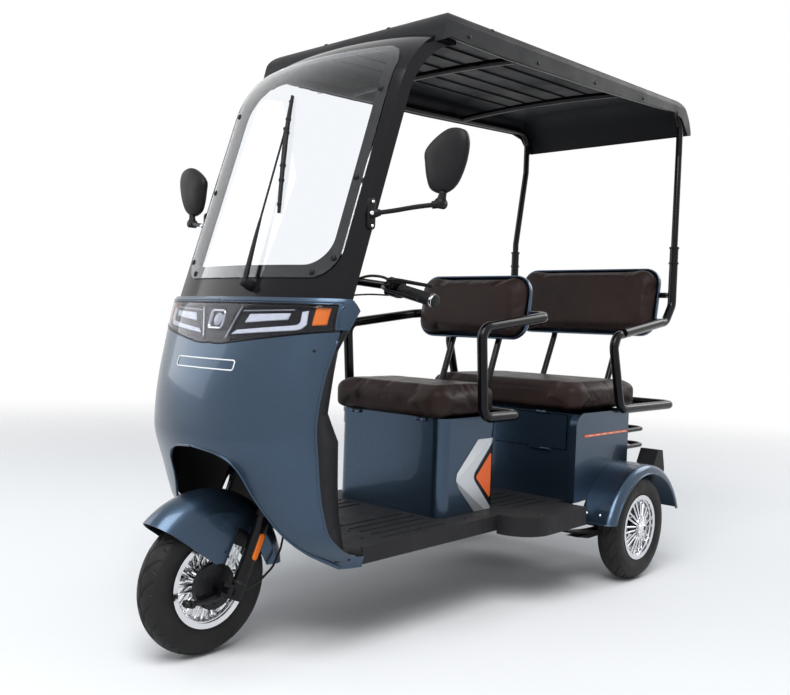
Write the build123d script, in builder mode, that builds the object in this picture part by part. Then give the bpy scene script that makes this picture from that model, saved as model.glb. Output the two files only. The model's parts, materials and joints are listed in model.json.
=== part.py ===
from build123d import *
from math import asin, cos, degrees, radians, sin, sqrt, tan
import os

os.makedirs("parts", exist_ok=True)

# An electric passenger tricycle with a canopy. X points to the vehicle's left,
# Y to its rear and Z up, with the ground at Z = 0. Most places along the length
# are stations: distances behind the front axle.

# ---------------------------------------------------------------- chassis layout
wheelbase = 1527.0
rear_track = 843.0
tyre_radius = 185.0
tyre_width = 86.0
roof_back = 1985.0                       # station of the canopy's rear lip
front_axle_y = -(roof_back - tyre_radius) / 2
seat_gap = 0.3                           # standing clearance between seated pieces
skin = 4.0                               # wall of the moulded panels

# ---------------------------------------------------------------- wheels
rim_lip_radius = 113.0
rim_lip_half = 36.0
rim_seat_radius = 103.7
rim_seat_half = 32.0
rim_drop_radius = 92.0
rim_wall = 4.5
rim_drop_half = 9.0
tyre_wall = 9.0
spoke_count = 10
spoke_width = 7.0
spoke_root_spread = 5.0                  # half the distance between a pair of spokes
spoke_tip_spread = 11.0
spoke_root = 6.0                         # depth of the spokes in the hub
spoke_depth = 16.0
hub_radius = 30.0
axle_radius = 8.0
axle_clearance = 0.3
front_hub_half = 36.0
rear_hub_outer = 44.0
rear_hub_inner = 30.0

# ---------------------------------------------------------------- steering
rake = 24.0                              # degrees that the steering axis leans back
trail = 13.0                             # the axis meets the ground this far ahead
leg_offset = 25.0                        # the fork legs stand ahead of the axis
leg_spread = 95.0                        # each leg's distance from the middle
slider_radius = 19.0
stanchion_radius = 13.0
yoke_height = 600.0                      # along the axis, from the ground
yoke_thickness = 22.0
slider_top = 400.0
stem_radius = 13.0
stem_top = 1046.0
head_bottom = 640.0
head_top = 800.0
head_radius = 24.0
head_bore_clearance = 0.5
bar_radius = 11.0
grip_radius = 16.5

# ---------------------------------------------------------------- floor and frame
pan_top = 288.0
pan_skin = 5.0
pan_half = 300.0
pan_skirt = 46.0
pan_front = 283.0
pan_back = 1330.0
rail_half_gauge = 220.0
rail_width = 30.0
rail_height = 38.0
rail_front = 335.0
rail_back = 1900.0
step_reach = 420.0
step_front = 880.0
step_back = 1215.0
step_height = 56.0
rib_width = 7.0                          # the floor's lengthwise ribs
rib_height = 2.0
rib_pitch = 42.0
rib_count = 5                            # on each side of the plain middle
rib_middle = 176.0
front_ribs = (400.0, 670.0)
rear_ribs = (1010.0, 1215.0)
seam_station = 807.0
seam = 2.0

# ---------------------------------------------------------------- body boxes
box_wall = 4.0
front_box_half = 221.0
front_box_front = 695.0
front_box_back = 978.0
box_top = 590.0
rear_box_half = 353.0
rear_box_front = 1270.0
rear_box_back = 1610.0
cushion_height = 98.0
front_cushion_half = 240.0
front_cushion_front = 650.0
rear_cushion_half = 338.0
rear_cushion_front = 1268.0
rear_cushion_back = 1735.0
tube_radius = 16.0                       # armrests and rear rail
rail_level = 594.0                       # height of the armrests' lower rails

# ---------------------------------------------------------------- canopy
roof_half = 372.0
roof_front = 467.0
roof_skin = 5.0
post_radius = 12.5


def side(x=0.0):
    """The plane seen from the left: station across, height up."""
    return Plane(origin=(x, front_axle_y, 0), x_dir=(0, 1, 0), z_dir=(1, 0, 0))


def plan(z):
    """The plane seen from above: left across, station up."""
    return Plane(origin=(0, front_axle_y, z))


def front(station):
    """The plane across the vehicle, facing forward: left across, height up."""
    origin = (0, front_axle_y + station, 0)
    return Plane(origin=origin, x_dir=(1, 0, 0), z_dir=(0, -1, 0))


def at(x, station, z):
    """A point from its offset to the left, its station and its height."""
    return (x, front_axle_y + station, z)


def bent_tube(points, radius, bend):
    """A round bar along straight runs joined by arcs."""
    with BuildPart() as tube:
        with BuildLine() as path:
            if len(points) == 2:
                Line(*[at(*p) for p in points])
            else:
                FilletPolyline(*[at(*p) for p in points], radius=bend)
        with BuildSketch(Plane(origin=path.line @ 0, z_dir=path.line % 0)):
            Circle(radius)
        sweep()
    return tube.part


def save(piece, name):
    piece.label = name
    export_step(piece, f"parts/{name}.step")


def left_and_right(piece, name):
    save(piece, name + "_left")
    save(mirror(piece, about=Plane.YZ), name + "_right")


# The steering axis leans back; steer() gives a plane square to it.
axis_dir = (0, sin(radians(rake)), cos(radians(rake)))


def steer(height):
    """The plane square to the steering axis: left across, forward down."""
    station = -trail + height * sin(radians(rake))
    z = height * cos(radians(rake))
    return Plane(origin=at(0, station, z), x_dir=(1, 0, 0), z_dir=axis_dir)


# ================================================================ wheels
def make_tyre(x, station):
    """A hollow carcass with a rounded crown, open to the rim."""
    half = tyre_width / 2
    shoulder = (half - 7, tyre_radius - 15)
    bulge = (half, tyre_radius - 42)
    heel = (rim_seat_half - seat_gap, rim_seat_radius + seat_gap)
    flange = (heel[0], rim_lip_radius + seat_gap)
    toe = (heel[0] - tyre_wall - 2, heel[1])
    inner_shoulder = (shoulder[0] - tyre_wall, shoulder[1] - tyre_wall)
    inner_bulge = (bulge[0] - tyre_wall, bulge[1])
    centre = at(x, station, tyre_radius)
    section = Plane(origin=centre, x_dir=(1, 0, 0), z_dir=(0, -1, 0))
    with BuildPart() as tyre:
        with BuildSketch(section):
            with BuildLine():
                Line(heel, flange)
                ThreePointArc(flange, bulge, shoulder)
                ThreePointArc(shoulder, (0, tyre_radius), (-shoulder[0], shoulder[1]))
                ThreePointArc((-shoulder[0], shoulder[1]), (-bulge[0], bulge[1]),
                              (-flange[0], flange[1]))
                Line((-flange[0], flange[1]), (-heel[0], heel[1]))
                Line((-heel[0], heel[1]), (-toe[0], toe[1]))
                ThreePointArc((-toe[0], toe[1]), (-inner_bulge[0], inner_bulge[1]),
                              (-inner_shoulder[0], inner_shoulder[1]))
                ThreePointArc((-inner_shoulder[0], inner_shoulder[1]),
                              (0, tyre_radius - tyre_wall - 2), inner_shoulder)
                ThreePointArc(inner_shoulder, inner_bulge, toe)
                Line(toe, heel)
            make_face()
        revolve(axis=Axis(centre, (1, 0, 0)))
    return tyre.part


def make_rim(x, station, hub_left, hub_right):
    """A cast wheel: barrel with flanges and drop centre, spokes and hub."""
    centre = at(x, station, tyre_radius)
    section = Plane(origin=centre, x_dir=(1, 0, 0), z_dir=(0, -1, 0))
    disc = Plane(origin=centre, x_dir=(0, 1, 0), z_dir=(1, 0, 0))
    drop_ramp = rim_drop_half + 6
    inner_seat = rim_seat_radius - rim_wall
    inner_drop = rim_drop_radius - rim_wall
    half = [(rim_drop_half, rim_drop_radius), (drop_ramp, rim_seat_radius),
            (rim_seat_half, rim_seat_radius), (rim_seat_half + 1, rim_lip_radius),
            (rim_lip_half, rim_lip_radius), (rim_lip_half - 1, inner_seat),
            (drop_ramp + 3, inner_seat), (rim_drop_half + 3, inner_drop)]
    mirrored = [(-px, py) for px, py in reversed(half)]
    with BuildPart() as rim:
        with BuildSketch(section):
            with BuildLine():
                Polyline(*(half + mirrored), close=True)
            make_face()
        revolve(axis=Axis(centre, (1, 0, 0)))
        with BuildSketch(disc.offset(-hub_right)):
            Circle(hub_radius)
        extrude(amount=hub_left + hub_right)
        with BuildSketch(disc):
            for hand in (-1, 1):
                root = hand * spoke_root_spread
                tip = hand * spoke_tip_spread
                with PolarLocations(0, spoke_count):
                    with BuildLine():
                        Polyline((hub_radius - spoke_root, root - spoke_width / 2),
                                 (inner_drop + 1, tip - spoke_width / 2),
                                 (inner_drop + 1, tip + spoke_width / 2),
                                 (hub_radius - spoke_root, root + spoke_width / 2), close=True)
                    make_face()
        extrude(amount=spoke_depth / 2, both=True)
        with BuildSketch(disc.offset(-hub_right)):
            Circle(axle_radius + axle_clearance)
        extrude(amount=hub_left + hub_right, mode=Mode.SUBTRACT)
    return rim.part


save(make_tyre(0, 0), "front_tyre")
save(make_rim(0, 0, front_hub_half, front_hub_half), "front_rim")
left_and_right(make_tyre(rear_track / 2, wheelbase), "rear_tyre")
left_and_right(make_rim(rear_track / 2, wheelbase, rear_hub_outer, rear_hub_inner), "rear_rim")

# ================================================================ steering
# Heights along the steering axis and offsets square to it.
axle_height = trail * sin(radians(rake)) + tyre_radius * cos(radians(rake))
axle_lead = tyre_radius * sin(radians(rake)) - trail * cos(radians(rake))
lug_half = 8.0
slider_bottom = axle_height - 12
guard_half = 66.0
boss_height = 350.0

with BuildPart() as fork:
    with BuildSketch(steer(yoke_height)):
        with BuildLine():
            Polyline((-leg_spread, -leg_offset + 24), (-leg_spread, -leg_offset - 24),
                     (leg_spread, -leg_offset - 24), (leg_spread, -leg_offset + 24),
                     (30, 30), (-30, 30), close=True)
        make_face()
        with Locations((-leg_spread, -leg_offset), (leg_spread, -leg_offset)):
            Circle(24)
    extrude(amount=yoke_thickness)
    with BuildSketch(steer(yoke_height)):
        Circle(stem_radius)
    extrude(amount=stem_top - yoke_height)
    with BuildSketch(steer(slider_top)):
        with Locations((-leg_spread, -leg_offset), (leg_spread, -leg_offset)):
            Circle(stanchion_radius)
    extrude(amount=yoke_height - slider_top)
    with BuildSketch(steer(slider_bottom)):
        with Locations((-leg_spread, -leg_offset), (leg_spread, -leg_offset)):
            Circle(slider_radius)
    extrude(amount=slider_top - slider_bottom)
    with BuildSketch(steer(axle_height - 18)):
        with Locations((-leg_spread, -(leg_offset + axle_lead) / 2),
                       (leg_spread, -(leg_offset + axle_lead) / 2)):
            Rectangle(2 * lug_half, axle_lead - leg_offset + 30)
    extrude(amount=36)
    with BuildSketch(side(-leg_spread - 22)):
        with Locations((0, tyre_radius)):
            Circle(axle_radius)
    extrude(amount=2 * (leg_spread + 22))
    boss = steer(boss_height).origin + steer(boss_height).y_dir * -leg_offset
    for start in (-leg_spread, guard_half + seat_gap):
        with BuildSketch(side(start)):
            with Locations((boss.Y - front_axle_y, boss.Z)):
                Circle(8)
        extrude(amount=leg_spread - guard_half - seat_gap)
save(fork.part, "fork")

# The front mudguard: a revolved hoop cut to its outline, with side skirts.
guard_radius = 243.0
guard_skin = 3.0
guard_shoulder = 190.0
guard_tip = (-167.0, 359.0)
guard_point = (23.0, 222.0)
guard_tail = 206.0
with BuildPart() as front_fender:
    centre = at(0, 0, tyre_radius)
    with BuildSketch(Plane(origin=centre, x_dir=(1, 0, 0), z_dir=(0, -1, 0))):
        with BuildLine():
            Line((-guard_half, 60), (-guard_half, guard_shoulder))
            ThreePointArc((-guard_half, guard_shoulder), (0, guard_radius),
                          (guard_half, guard_shoulder))
            Line((guard_half, guard_shoulder), (guard_half, 60))
            Line((guard_half, 60), (guard_half - guard_skin, 60))
            Line((guard_half - guard_skin, 60), (guard_half - guard_skin, guard_shoulder))
            ThreePointArc((guard_half - guard_skin, guard_shoulder),
                          (0, guard_radius - guard_skin),
                          (guard_skin - guard_half, guard_shoulder))
            Line((guard_skin - guard_half, guard_shoulder), (guard_skin - guard_half, 60))
            Line((guard_skin - guard_half, 60), (-guard_half, 60))
        make_face()
    revolve(axis=Axis(centre, (1, 0, 0)))
    with BuildSketch(side()):
        with BuildLine():
            Polyline(guard_tip, guard_point, (62, 330), (110, 300), (160, guard_tail + 8),
                     (260, guard_tail), (260, 460), (-200, 460), (-200, 380), close=True)
        make_face()
    extrude(amount=guard_half + 10, both=True, mode=Mode.INTERSECT)
save(front_fender.part, "front_fender")

# The handlebar, with its stem clamp, and the two grips.
bar_points = [(0, 420, 985), (115, 422, 988), (190, 456, 978), (368, 463, 936)]
grip_length = 128.0
pod_length = 42.0
pod_width = 40.0
pod_height = 46.0
lever_radius = 4.5
lever_points = [(214, 442, 975), (214, 412, 972), (240, 398, 965), (348, 408, 938)]
grip_start = Vector(at(*bar_points[2]))
grip_end = Vector(at(*bar_points[3]))
grip_run = (grip_end - grip_start).normalized()
grip_plane = Plane(origin=grip_end - grip_run * grip_length, x_dir=(0, 1, 0), z_dir=grip_run)
bar_left = bent_tube(bar_points, bar_radius, 30)
lever_left = bent_tube(lever_points, lever_radius, 12)
with BuildPart() as handlebar:
    add(bar_left)
    add(lever_left)
    with BuildSketch(grip_plane.offset(-pod_length - seat_gap)):
        RectangleRounded(pod_width, pod_height, 10)
    extrude(amount=pod_length)
    mirror(about=Plane.YZ)
    with BuildSketch(steer(stem_top + seat_gap)):
        Circle(24)
    extrude(amount=50)
save(handlebar.part, "handlebar")

with BuildPart() as grips:
    with BuildSketch(grip_plane):
        Circle(grip_radius)
        Circle(bar_radius + seat_gap, mode=Mode.SUBTRACT)
    extrude(amount=grip_length)
    mirror(about=Plane.YZ)
save(grips.part, "grips")

# The drum brake's backing plate and lever, on the left of the front hub.
plate_radius = 60.0
plate_inner = front_hub_half + 1.5
plate_outer = 54.0
with BuildPart() as front_brake:
    with BuildSketch(side(plate_inner)):
        with Locations((0, tyre_radius)):
            Circle(plate_radius)
            Circle(axle_radius + seat_gap, mode=Mode.SUBTRACT)
    extrude(amount=plate_outer - plate_inner)
    with BuildSketch(side(plate_outer - 1)):
        with Locations((-32, tyre_radius - 34)):
            Circle(7)
    extrude(amount=16)
    with BuildSketch(side(plate_outer + 7)):
        with BuildLine():
            Polyline((-42, 150), (-30, 136), (42, 152), (42, 160), (-28, 158), close=True)
        make_face()
    extrude(amount=6)
save(front_brake.part, "front_brake")

cable_radius = 3.0
cable_points = [(64, 42.3, 156), (65, 75, 157), (80, 120, 178), (82, 165, 210),
                (78, 195, 255), (70, 215, 310), (62, 232, 370), (56, 247, 430),
                (48, 262, 490)]
brake_cable = bent_tube(cable_points, cable_radius, 60)
save(brake_cable, "brake_cable")

# ================================================================ frame
rail_middle = pan_top - pan_skin - seat_gap - rail_height / 2
down_tube_station = 350.0
down_tube_radius = 19.0
cross_bar = 25.0
spring_x = 300.0
spring_width = 45.0
spring_front = wheelbase - 330.0
spring_back = wheelbase + 330.0
spring_eye_z = 205.0
spring_eye_radius = 14.0
hanger_wall = 5.0
down_tube = bent_tube([(0, 320, 680), (0, down_tube_station, 560),
                       (0, down_tube_station, rail_middle)], down_tube_radius, 60)
with BuildPart() as frame:
    with BuildSketch(steer(head_bottom)):
        Circle(head_radius)
    extrude(amount=head_top - head_bottom)
    add(down_tube)
    with BuildSketch(steer(head_bottom)):
        Circle(stem_radius + head_bore_clearance)
    extrude(amount=head_top - head_bottom, mode=Mode.SUBTRACT)
    with BuildSketch(front(rail_back)):
        with Locations((-rail_half_gauge, rail_middle), (rail_half_gauge, rail_middle)):
            Rectangle(rail_width, rail_height)
    extrude(amount=rail_back - rail_front)
    with BuildSketch(side(-rail_half_gauge)):
        with Locations(*[(s, rail_middle) for s in (down_tube_station, 700, 1000)]):
            Rectangle(cross_bar, cross_bar)
    extrude(amount=2 * rail_half_gauge)
    with BuildSketch(side(-spring_x - spring_width / 2 - hanger_wall)):
        with Locations((spring_front, rail_middle), (spring_back, rail_middle)):
            Rectangle(cross_bar, cross_bar)
    extrude(amount=2 * spring_x + spring_width + 2 * hanger_wall)
    for x in (-spring_x, spring_x):
        for cheek in (x - spring_width / 2 - hanger_wall, x + spring_width / 2 + seat_gap):
            with BuildSketch(side(cheek)):
                with Locations((spring_front, spring_eye_z), (spring_back, spring_eye_z)):
                    Circle(spring_eye_radius)
                for station in (spring_front, spring_back):
                    with Locations((station, (rail_middle + spring_eye_z) / 2)):
                        Rectangle(2 * spring_eye_radius, rail_middle - spring_eye_z)
            extrude(amount=hanger_wall - seat_gap)
save(frame.part, "frame")

# ================================================================ floor
notch_half = 60.0
with BuildPart() as floor_pan:
    with BuildSketch(front(pan_back)):
        with BuildLine():
            Polyline((-pan_half, pan_top - pan_skirt), (-pan_half, pan_top), (pan_half, pan_top),
                     (pan_half, pan_top - pan_skirt), (pan_half - 4, pan_top - pan_skirt),
                     (pan_half - 4, pan_top - pan_skin), (4 - pan_half, pan_top - pan_skin),
                     (4 - pan_half, pan_top - pan_skirt), close=True)
        make_face()
    extrude(amount=pan_back - pan_front)
    for hand in (-1, 1):
        with BuildSketch(plan(pan_top - step_height)):
            with BuildLine():
                Line((hand * pan_half, step_front), (hand * pan_half, step_back))
                Line((hand * pan_half, step_back), (hand * step_reach, step_back))
                Line((hand * step_reach, step_back), (hand * step_reach, step_front + 110))
                TangentArc((hand * step_reach, step_front + 110), (hand * pan_half, step_front),
                           tangent=(0, -1))
            make_face()
        extrude(amount=step_height + 4)
    for start, end in (front_ribs, rear_ribs):
        with BuildSketch(plan(pan_top)):
            with Locations((-rib_middle, (start + end) / 2), (rib_middle, (start + end) / 2)):
                with GridLocations(rib_pitch, 0, rib_count, 1):
                    SlotOverall(end - start, rib_width, rotation=90)
        extrude(amount=rib_height)
    for hand in (-1, 1):
        with BuildSketch(plan(pan_top - pan_skirt)):
            with Locations((hand * pan_half, seam_station)):
                Rectangle(seam, seam)
        extrude(amount=pan_skirt, mode=Mode.SUBTRACT)
    with BuildSketch(plan(pan_top - pan_skirt)):
        with Locations((0, pan_front)):
            Rectangle(2 * notch_half, down_tube_station + down_tube_radius + 10 - pan_front,
                      align=(Align.CENTER, Align.MIN))
    extrude(amount=pan_skirt, mode=Mode.SUBTRACT)
    with BuildSketch(side(-spring_x - spring_width / 2 - hanger_wall - 1)):
        with Locations((spring_front, pan_top - pan_skin)):
            Rectangle(2 * spring_eye_radius + 4, step_height + 4, align=(Align.CENTER, Align.MAX))
    extrude(amount=2 * (spring_x + spring_width / 2 + hanger_wall + 1), mode=Mode.SUBTRACT)
save(floor_pan.part, "floor_pan")

# ================================================================ front fairing
# Plan sections of the nose: height, station at the middle, half width and the
# station of the rear edge, from the foot up to the windshield's sill.
nose_sections = [
    (236.0, 70.0, 302.0, 290.0),
    (300.0, 50.0, 318.0, 190.0),
    (368.0, 26.0, 330.0, 128.0),
    (432.0, 3.0, 331.0, 108.0),
    (504.0, -30.0, 331.0, 95.0),
    (560.0, -50.0, 332.0, 86.0),
    (640.0, -45.0, 333.0, 80.0),
    (740.0, -26.0, 342.0, 98.0),
    (800.0, -6.0, 350.0, 111.0),
    (870.0, 15.0, 362.0, 132.0),
    (930.0, 42.0, 372.0, 160.0),
]
nose_run = 26.0                          # the plan ellipses run this far past the edge
nose_back = 330.0


def nose(inset):
    """The nose as a solid through its sections, moved in by a wall."""
    ends = {nose_sections[0][0]: -2, nose_sections[-1][0]: 2} if inset else {}
    with BuildPart() as body:
        for z, middle, half, edge in nose_sections:
            level = z + ends.get(z, 0)
            with BuildSketch(plan(level)):
                with BuildLine():
                    depth = edge + nose_run - middle - inset
                    EllipticalCenterArc((0, edge + nose_run), half - inset, depth,
                                        start_angle=180, arc_size=180)
                    Line((half - inset, edge + nose_run), (half - inset, nose_back + inset))
                    Line((half - inset, nose_back + inset), (inset - half, nose_back + inset))
                    Line((inset - half, nose_back + inset), (inset - half, edge + nose_run))
                make_face()
        loft()
    return body.part


lamp_low = 806.0                         # the lamp's lower point, at the middle
lamp_end_low = 848.0
lamp_high = 914.0
sill = 928.0
lamp_half = 345.0
arch = [(0, 541), (88, 530), (137, 500), (163, 432), (199, 368), (240, 305), (266, 264), (278, 236)]

foot_end = pan_front - seat_gap
nose_outer = nose(0)
nose_inner = nose(skin)
with BuildPart() as front_fairing:
    add(nose_outer)
    add(nose_inner, mode=Mode.SUBTRACT)
    with BuildSketch(side()):
        with BuildLine():
            Line((foot_end, 200), (foot_end, 266))
            Spline((foot_end, 266), (232, 276), (176, 310), (137, 350), (108, 430),
                   (92, 520), (81, 620), (97, 736), (128, 860))
            Line((128, 860), (-200, 860))
            Line((-200, 860), (-200, 200))
            Line((-200, 200), (foot_end, 200))
        make_face()
    extrude(amount=500, both=True, mode=Mode.INTERSECT)
    with BuildSketch(front(-200)):
        with BuildLine():
            Spline(*[(-px, pz) for px, pz in reversed(arch[1:])], *arch, tangents=[(0, 1), (0, -1)])
            Line(arch[-1], (arch[-1][0], 200))
            Line((arch[-1][0], 200), (-arch[-1][0], 200))
            Line((-arch[-1][0], 200), (-arch[-1][0], arch[-1][1]))
        make_face()
    extrude(amount=-600, mode=Mode.SUBTRACT)
    with BuildSketch(front(-200)):
        with BuildLine():
            Polyline((-400, lamp_end_low + 6), (-60, lamp_low - seat_gap),
                     (60, lamp_low - seat_gap), (400, lamp_end_low + 6),
                     (400, 1000), (-400, 1000), close=True)
        make_face()
    extrude(amount=-600, mode=Mode.SUBTRACT)
save(front_fairing.part, "front_fairing")

# The lamp cluster fills the band between fairing and sill: lens and housing.
lens_wall = 3.0
lens_depth = 16.0
housing_depth = 60.0
lens_rim = 10.0


def lamp_outline(rim):
    """The lamp's outline seen from the front, drawn in by a rim."""
    half = lamp_half - rim
    return [(-half, lamp_end_low + rim), (-60, lamp_low + rim), (60, lamp_low + rim),
            (half, lamp_end_low + rim), (half, lamp_high - rim), (-half, lamp_high - rim)]


lens_back = nose(lens_wall)
seat_front = nose(lens_wall + seat_gap)
housing_front = nose(lens_depth)
housing_back = nose(housing_depth)

with BuildPart() as lamp_lens:
    add(nose_outer)
    add(lens_back, mode=Mode.SUBTRACT)
    with BuildSketch(front(-200)):
        Polygon(*lamp_outline(0), align=None)
    extrude(amount=-380, mode=Mode.INTERSECT)
save(lamp_lens.part, "lamp_lens")

with BuildPart() as lamp_pocket:
    add(nose_outer)
    add(housing_front, mode=Mode.SUBTRACT)
    with BuildSketch(front(-200)):
        Polygon(*lamp_outline(lens_rim), align=None)
    extrude(amount=-380, mode=Mode.INTERSECT)

with BuildPart() as lamp_housing:
    add(seat_front)
    add(housing_back, mode=Mode.SUBTRACT)
    with BuildSketch(front(-200)):
        Polygon(*lamp_outline(0), align=None)
    extrude(amount=-330, mode=Mode.INTERSECT)
    add(lamp_pocket.part, mode=Mode.SUBTRACT)
save(lamp_housing.part, "lamp_housing")

# The brow runs round the lamp and closes the nose with a deck, on which the
# windshield stands.
deck_back = 152.0
brow_low = lamp_end_low + 4.0
brow_tip = (176.0, 900.0)                # station and height of its pointed ends
with BuildPart() as brow_hollow:
    add(lens_back)
    with BuildSketch(plan(0)):
        Rectangle(4 * nose_back, 4 * nose_back)
    extrude(amount=sill - lens_wall, mode=Mode.INTERSECT)

with BuildPart() as brow:
    add(nose_outer)
    add(brow_hollow.part, mode=Mode.SUBTRACT)
    with BuildSketch(side()):
        with BuildLine():
            Polyline((-100, sill), (deck_back, sill), brow_tip, (deck_back - 2, brow_low),
                     (-100, brow_low), close=True)
        make_face()
    extrude(amount=500, both=True, mode=Mode.INTERSECT)
    with BuildSketch(front(-200)):
        Rectangle(2 * lamp_half + 2 * seat_gap, 400, align=(Align.CENTER, Align.MAX))
    extrude(amount=-600, mode=Mode.SUBTRACT)
    with BuildSketch(front(-200)):
        with Locations((0, lamp_high + seat_gap)):
            Rectangle(2 * lamp_half + 2 * seat_gap, 400, align=(Align.CENTER, Align.MAX))
    extrude(amount=-600, mode=Mode.SUBTRACT)
save(brow.part, "brow")

# The inner shield closes the nose from behind. Its rim follows the fairing's rear
# edge a little inside it, and a cover bulges back around the steering head.
shield_lap = 8.0
shield_clear = 4.0
shield_middle_low = 326.0                # roomier below, where the yoke swings
shield_middle_high = 262.0
shield_waist = 600.0
shield_floor = pan_top + seat_gap
shield_top = sill - lens_wall - seat_gap # it ends under the deck
cover_half = 74.0
cover_back = 386.0
cover_top = 760.0
cover_step = 578.0                       # below it the cover starts behind the yoke's swing
cover_front_low = 300.0
cover_front_high = 246.0


def shield_half(section, rim):
    """Half the room inside the fairing at the shield's rim."""
    z, middle, half, edge = section
    depth = edge + nose_run - middle - skin
    reach = sqrt(1 - ((edge + nose_run - rim) / depth) ** 2)
    return (half - skin) * reach - shield_clear


shield_rims = []
for section in nose_sections[1:-2]:
    rim = section[3] - shield_lap
    shield_rims.append((max(section[0], shield_floor), rim, shield_half(section, rim)))
for section in nose_sections[-2:]:
    rim = deck_back + seat_gap
    shield_rims.append((min(section[0], shield_top), rim, shield_half(section, rim)))
shield_rims[0] = (shield_floor, shield_rims[0][1], shield_rims[0][2] - 2 * shield_clear)

def cover_block(inset):
    """The cover round the steering head, moved in by a wall."""
    with BuildPart() as block:
        with BuildSketch(plan(shield_floor - inset)):
            with BuildLine():
                start = cover_front_high - inset
                EllipticalCenterArc((0, start), cover_half - inset, cover_back - start - inset,
                                    start_angle=0, arc_size=180)
                Line((inset - cover_half, start), (cover_half - inset, start))
            make_face()
        extrude(amount=cover_top - shield_floor)
    return block.part


cover_inner = cover_block(skin)
with BuildPart() as cover_outer:
    add(cover_block(0))
    with BuildSketch(plan(0)):
        with Locations((0, cover_front_low)):
            Rectangle(4 * cover_half, 4 * cover_half, align=(Align.CENTER, Align.MAX))
    extrude(amount=cover_step, mode=Mode.SUBTRACT)

with BuildPart() as leg_shield:
    for inset, mode in ((0, Mode.ADD), (skin, Mode.SUBTRACT)):
        for level, rim, half in shield_rims:
            z = level - inset if level == shield_rims[-1][0] else level
            z = level - 1 if inset and level == shield_floor else z
            with BuildSketch(plan(z)):
                with BuildLine():
                    start = rim - inset
                    middle = shield_middle_low if level < shield_waist else shield_middle_high
                    EllipticalCenterArc((0, start), half - inset, middle - inset - start,
                                        start_angle=0, arc_size=180)
                    Line((inset - half, start), (half - inset, start))
                make_face()
        loft(ruled=True, mode=mode)
    add(cover_outer.part)
    add(cover_inner, mode=Mode.SUBTRACT)
    with BuildSketch(steer(head_top - 10)):
        Circle(stem_radius + 12)
    extrude(amount=220, mode=Mode.SUBTRACT)
save(leg_shield.part, "leg_shield")

# ================================================================ windshield
# Its profile is a straight run from the sill, then an arc into the canopy. The
# profile is carried along a plan arc that bulges forward.
ws_foot_station = 70.0
ws_foot_z = sill
ws_tail = 40.0                           # run below the deck, trimmed flat on it
ws_lean = 18.3
ws_straight = 585.0
ws_arc_radius = 300.0
ws_arc_turn = 58.0
ws_cut_turn = 66.0                       # the canopy is cleared a little further
ws_plan_radius = 900.0
ws_half = 340.0
glass_wall = 4.0
glass_half = 312.0
frame_wall = 8.0
pillar_depth = 38.0
pillar_wall = 10.0
window_half = 282.0
window_low = 1012.0
window_high = 1600.0
window_corner = 70.0
glass_low = 980.0
glass_high = 1615.0


def ws_strip(x, shift, near, far, arc=ws_arc_turn):
    """The windshield's profile as a closed strip between two set-backs."""
    lean = radians(ws_lean)
    turn = radians(arc)
    up = Vector(sin(lean), cos(lean))
    back = Vector(cos(lean), -sin(lean))
    foot = Vector(ws_foot_station + shift, ws_foot_z) - up * ws_tail
    bend = foot + up * (ws_straight + ws_tail)
    hub = bend + back * ws_arc_radius

    def on_arc(angle, depth):
        return hub + (up * sin(angle) - back * cos(angle)) * (ws_arc_radius - depth)

    with BuildSketch(side(x)) as strip:
        with BuildLine():
            Line(foot + back * near, bend + back * near)
            ThreePointArc(bend + back * near, on_arc(turn / 2, near), on_arc(turn, near))
            Line(on_arc(turn, near), on_arc(turn, far))
            ThreePointArc(on_arc(turn, far), on_arc(turn / 2, far), bend + back * far)
            Line(bend + back * far, foot + back * far)
            Line(foot + back * far, foot + back * near)
        make_face()
    return strip.sketch


def ws_sag(half):
    """How far the plan arc has fallen back at this half width."""
    return ws_plan_radius - sqrt(ws_plan_radius ** 2 - half ** 2)


def ws_band(half, near, far, arc=ws_arc_turn):
    """The strip carried along the plan arc."""
    with BuildPart() as band:
        for i in range(-3, 4):
            x = half * i / 3
            add(ws_strip(x, ws_sag(x), near, far, arc))
        loft()
    return band.part


with BuildPart() as windshield_frame:
    add(ws_band(ws_half, 0, frame_wall))
    with BuildSketch(front(0)):
        with Locations((0, (window_low + window_high) / 2)):
            RectangleRounded(2 * window_half, window_high - window_low, window_corner)
    extrude(amount=-800, mode=Mode.SUBTRACT)
    for x in (-ws_half, ws_half - pillar_wall):
        add(extrude(ws_strip(x, ws_sag(ws_half), 0, pillar_depth), amount=pillar_wall,
                    mode=Mode.PRIVATE))
    with BuildSketch(plan(0)):
        Rectangle(4 * ws_half, 4 * ws_half)
    extrude(amount=ws_foot_z + seat_gap, mode=Mode.SUBTRACT)
save(windshield_frame.part, "windshield_frame")

with BuildPart() as windshield:
    add(ws_band(ws_half, -glass_wall - seat_gap, -seat_gap))
    with BuildSketch(front(0)):
        with Locations((0, (glass_low + glass_high) / 2)):
            RectangleRounded(2 * glass_half, glass_high - glass_low, window_corner)
    extrude(amount=-800, mode=Mode.INTERSECT)
save(windshield.part, "windshield")


def ws_station(z):
    """The station of the windshield's straight middle line at a height."""
    return ws_foot_station + (z - ws_foot_z) * tan(radians(ws_lean))


def on_screen(x, z, stand):
    """A point standing off the windshield's straight part."""
    return (x, ws_station(z) + ws_sag(x) - stand, z)


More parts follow.
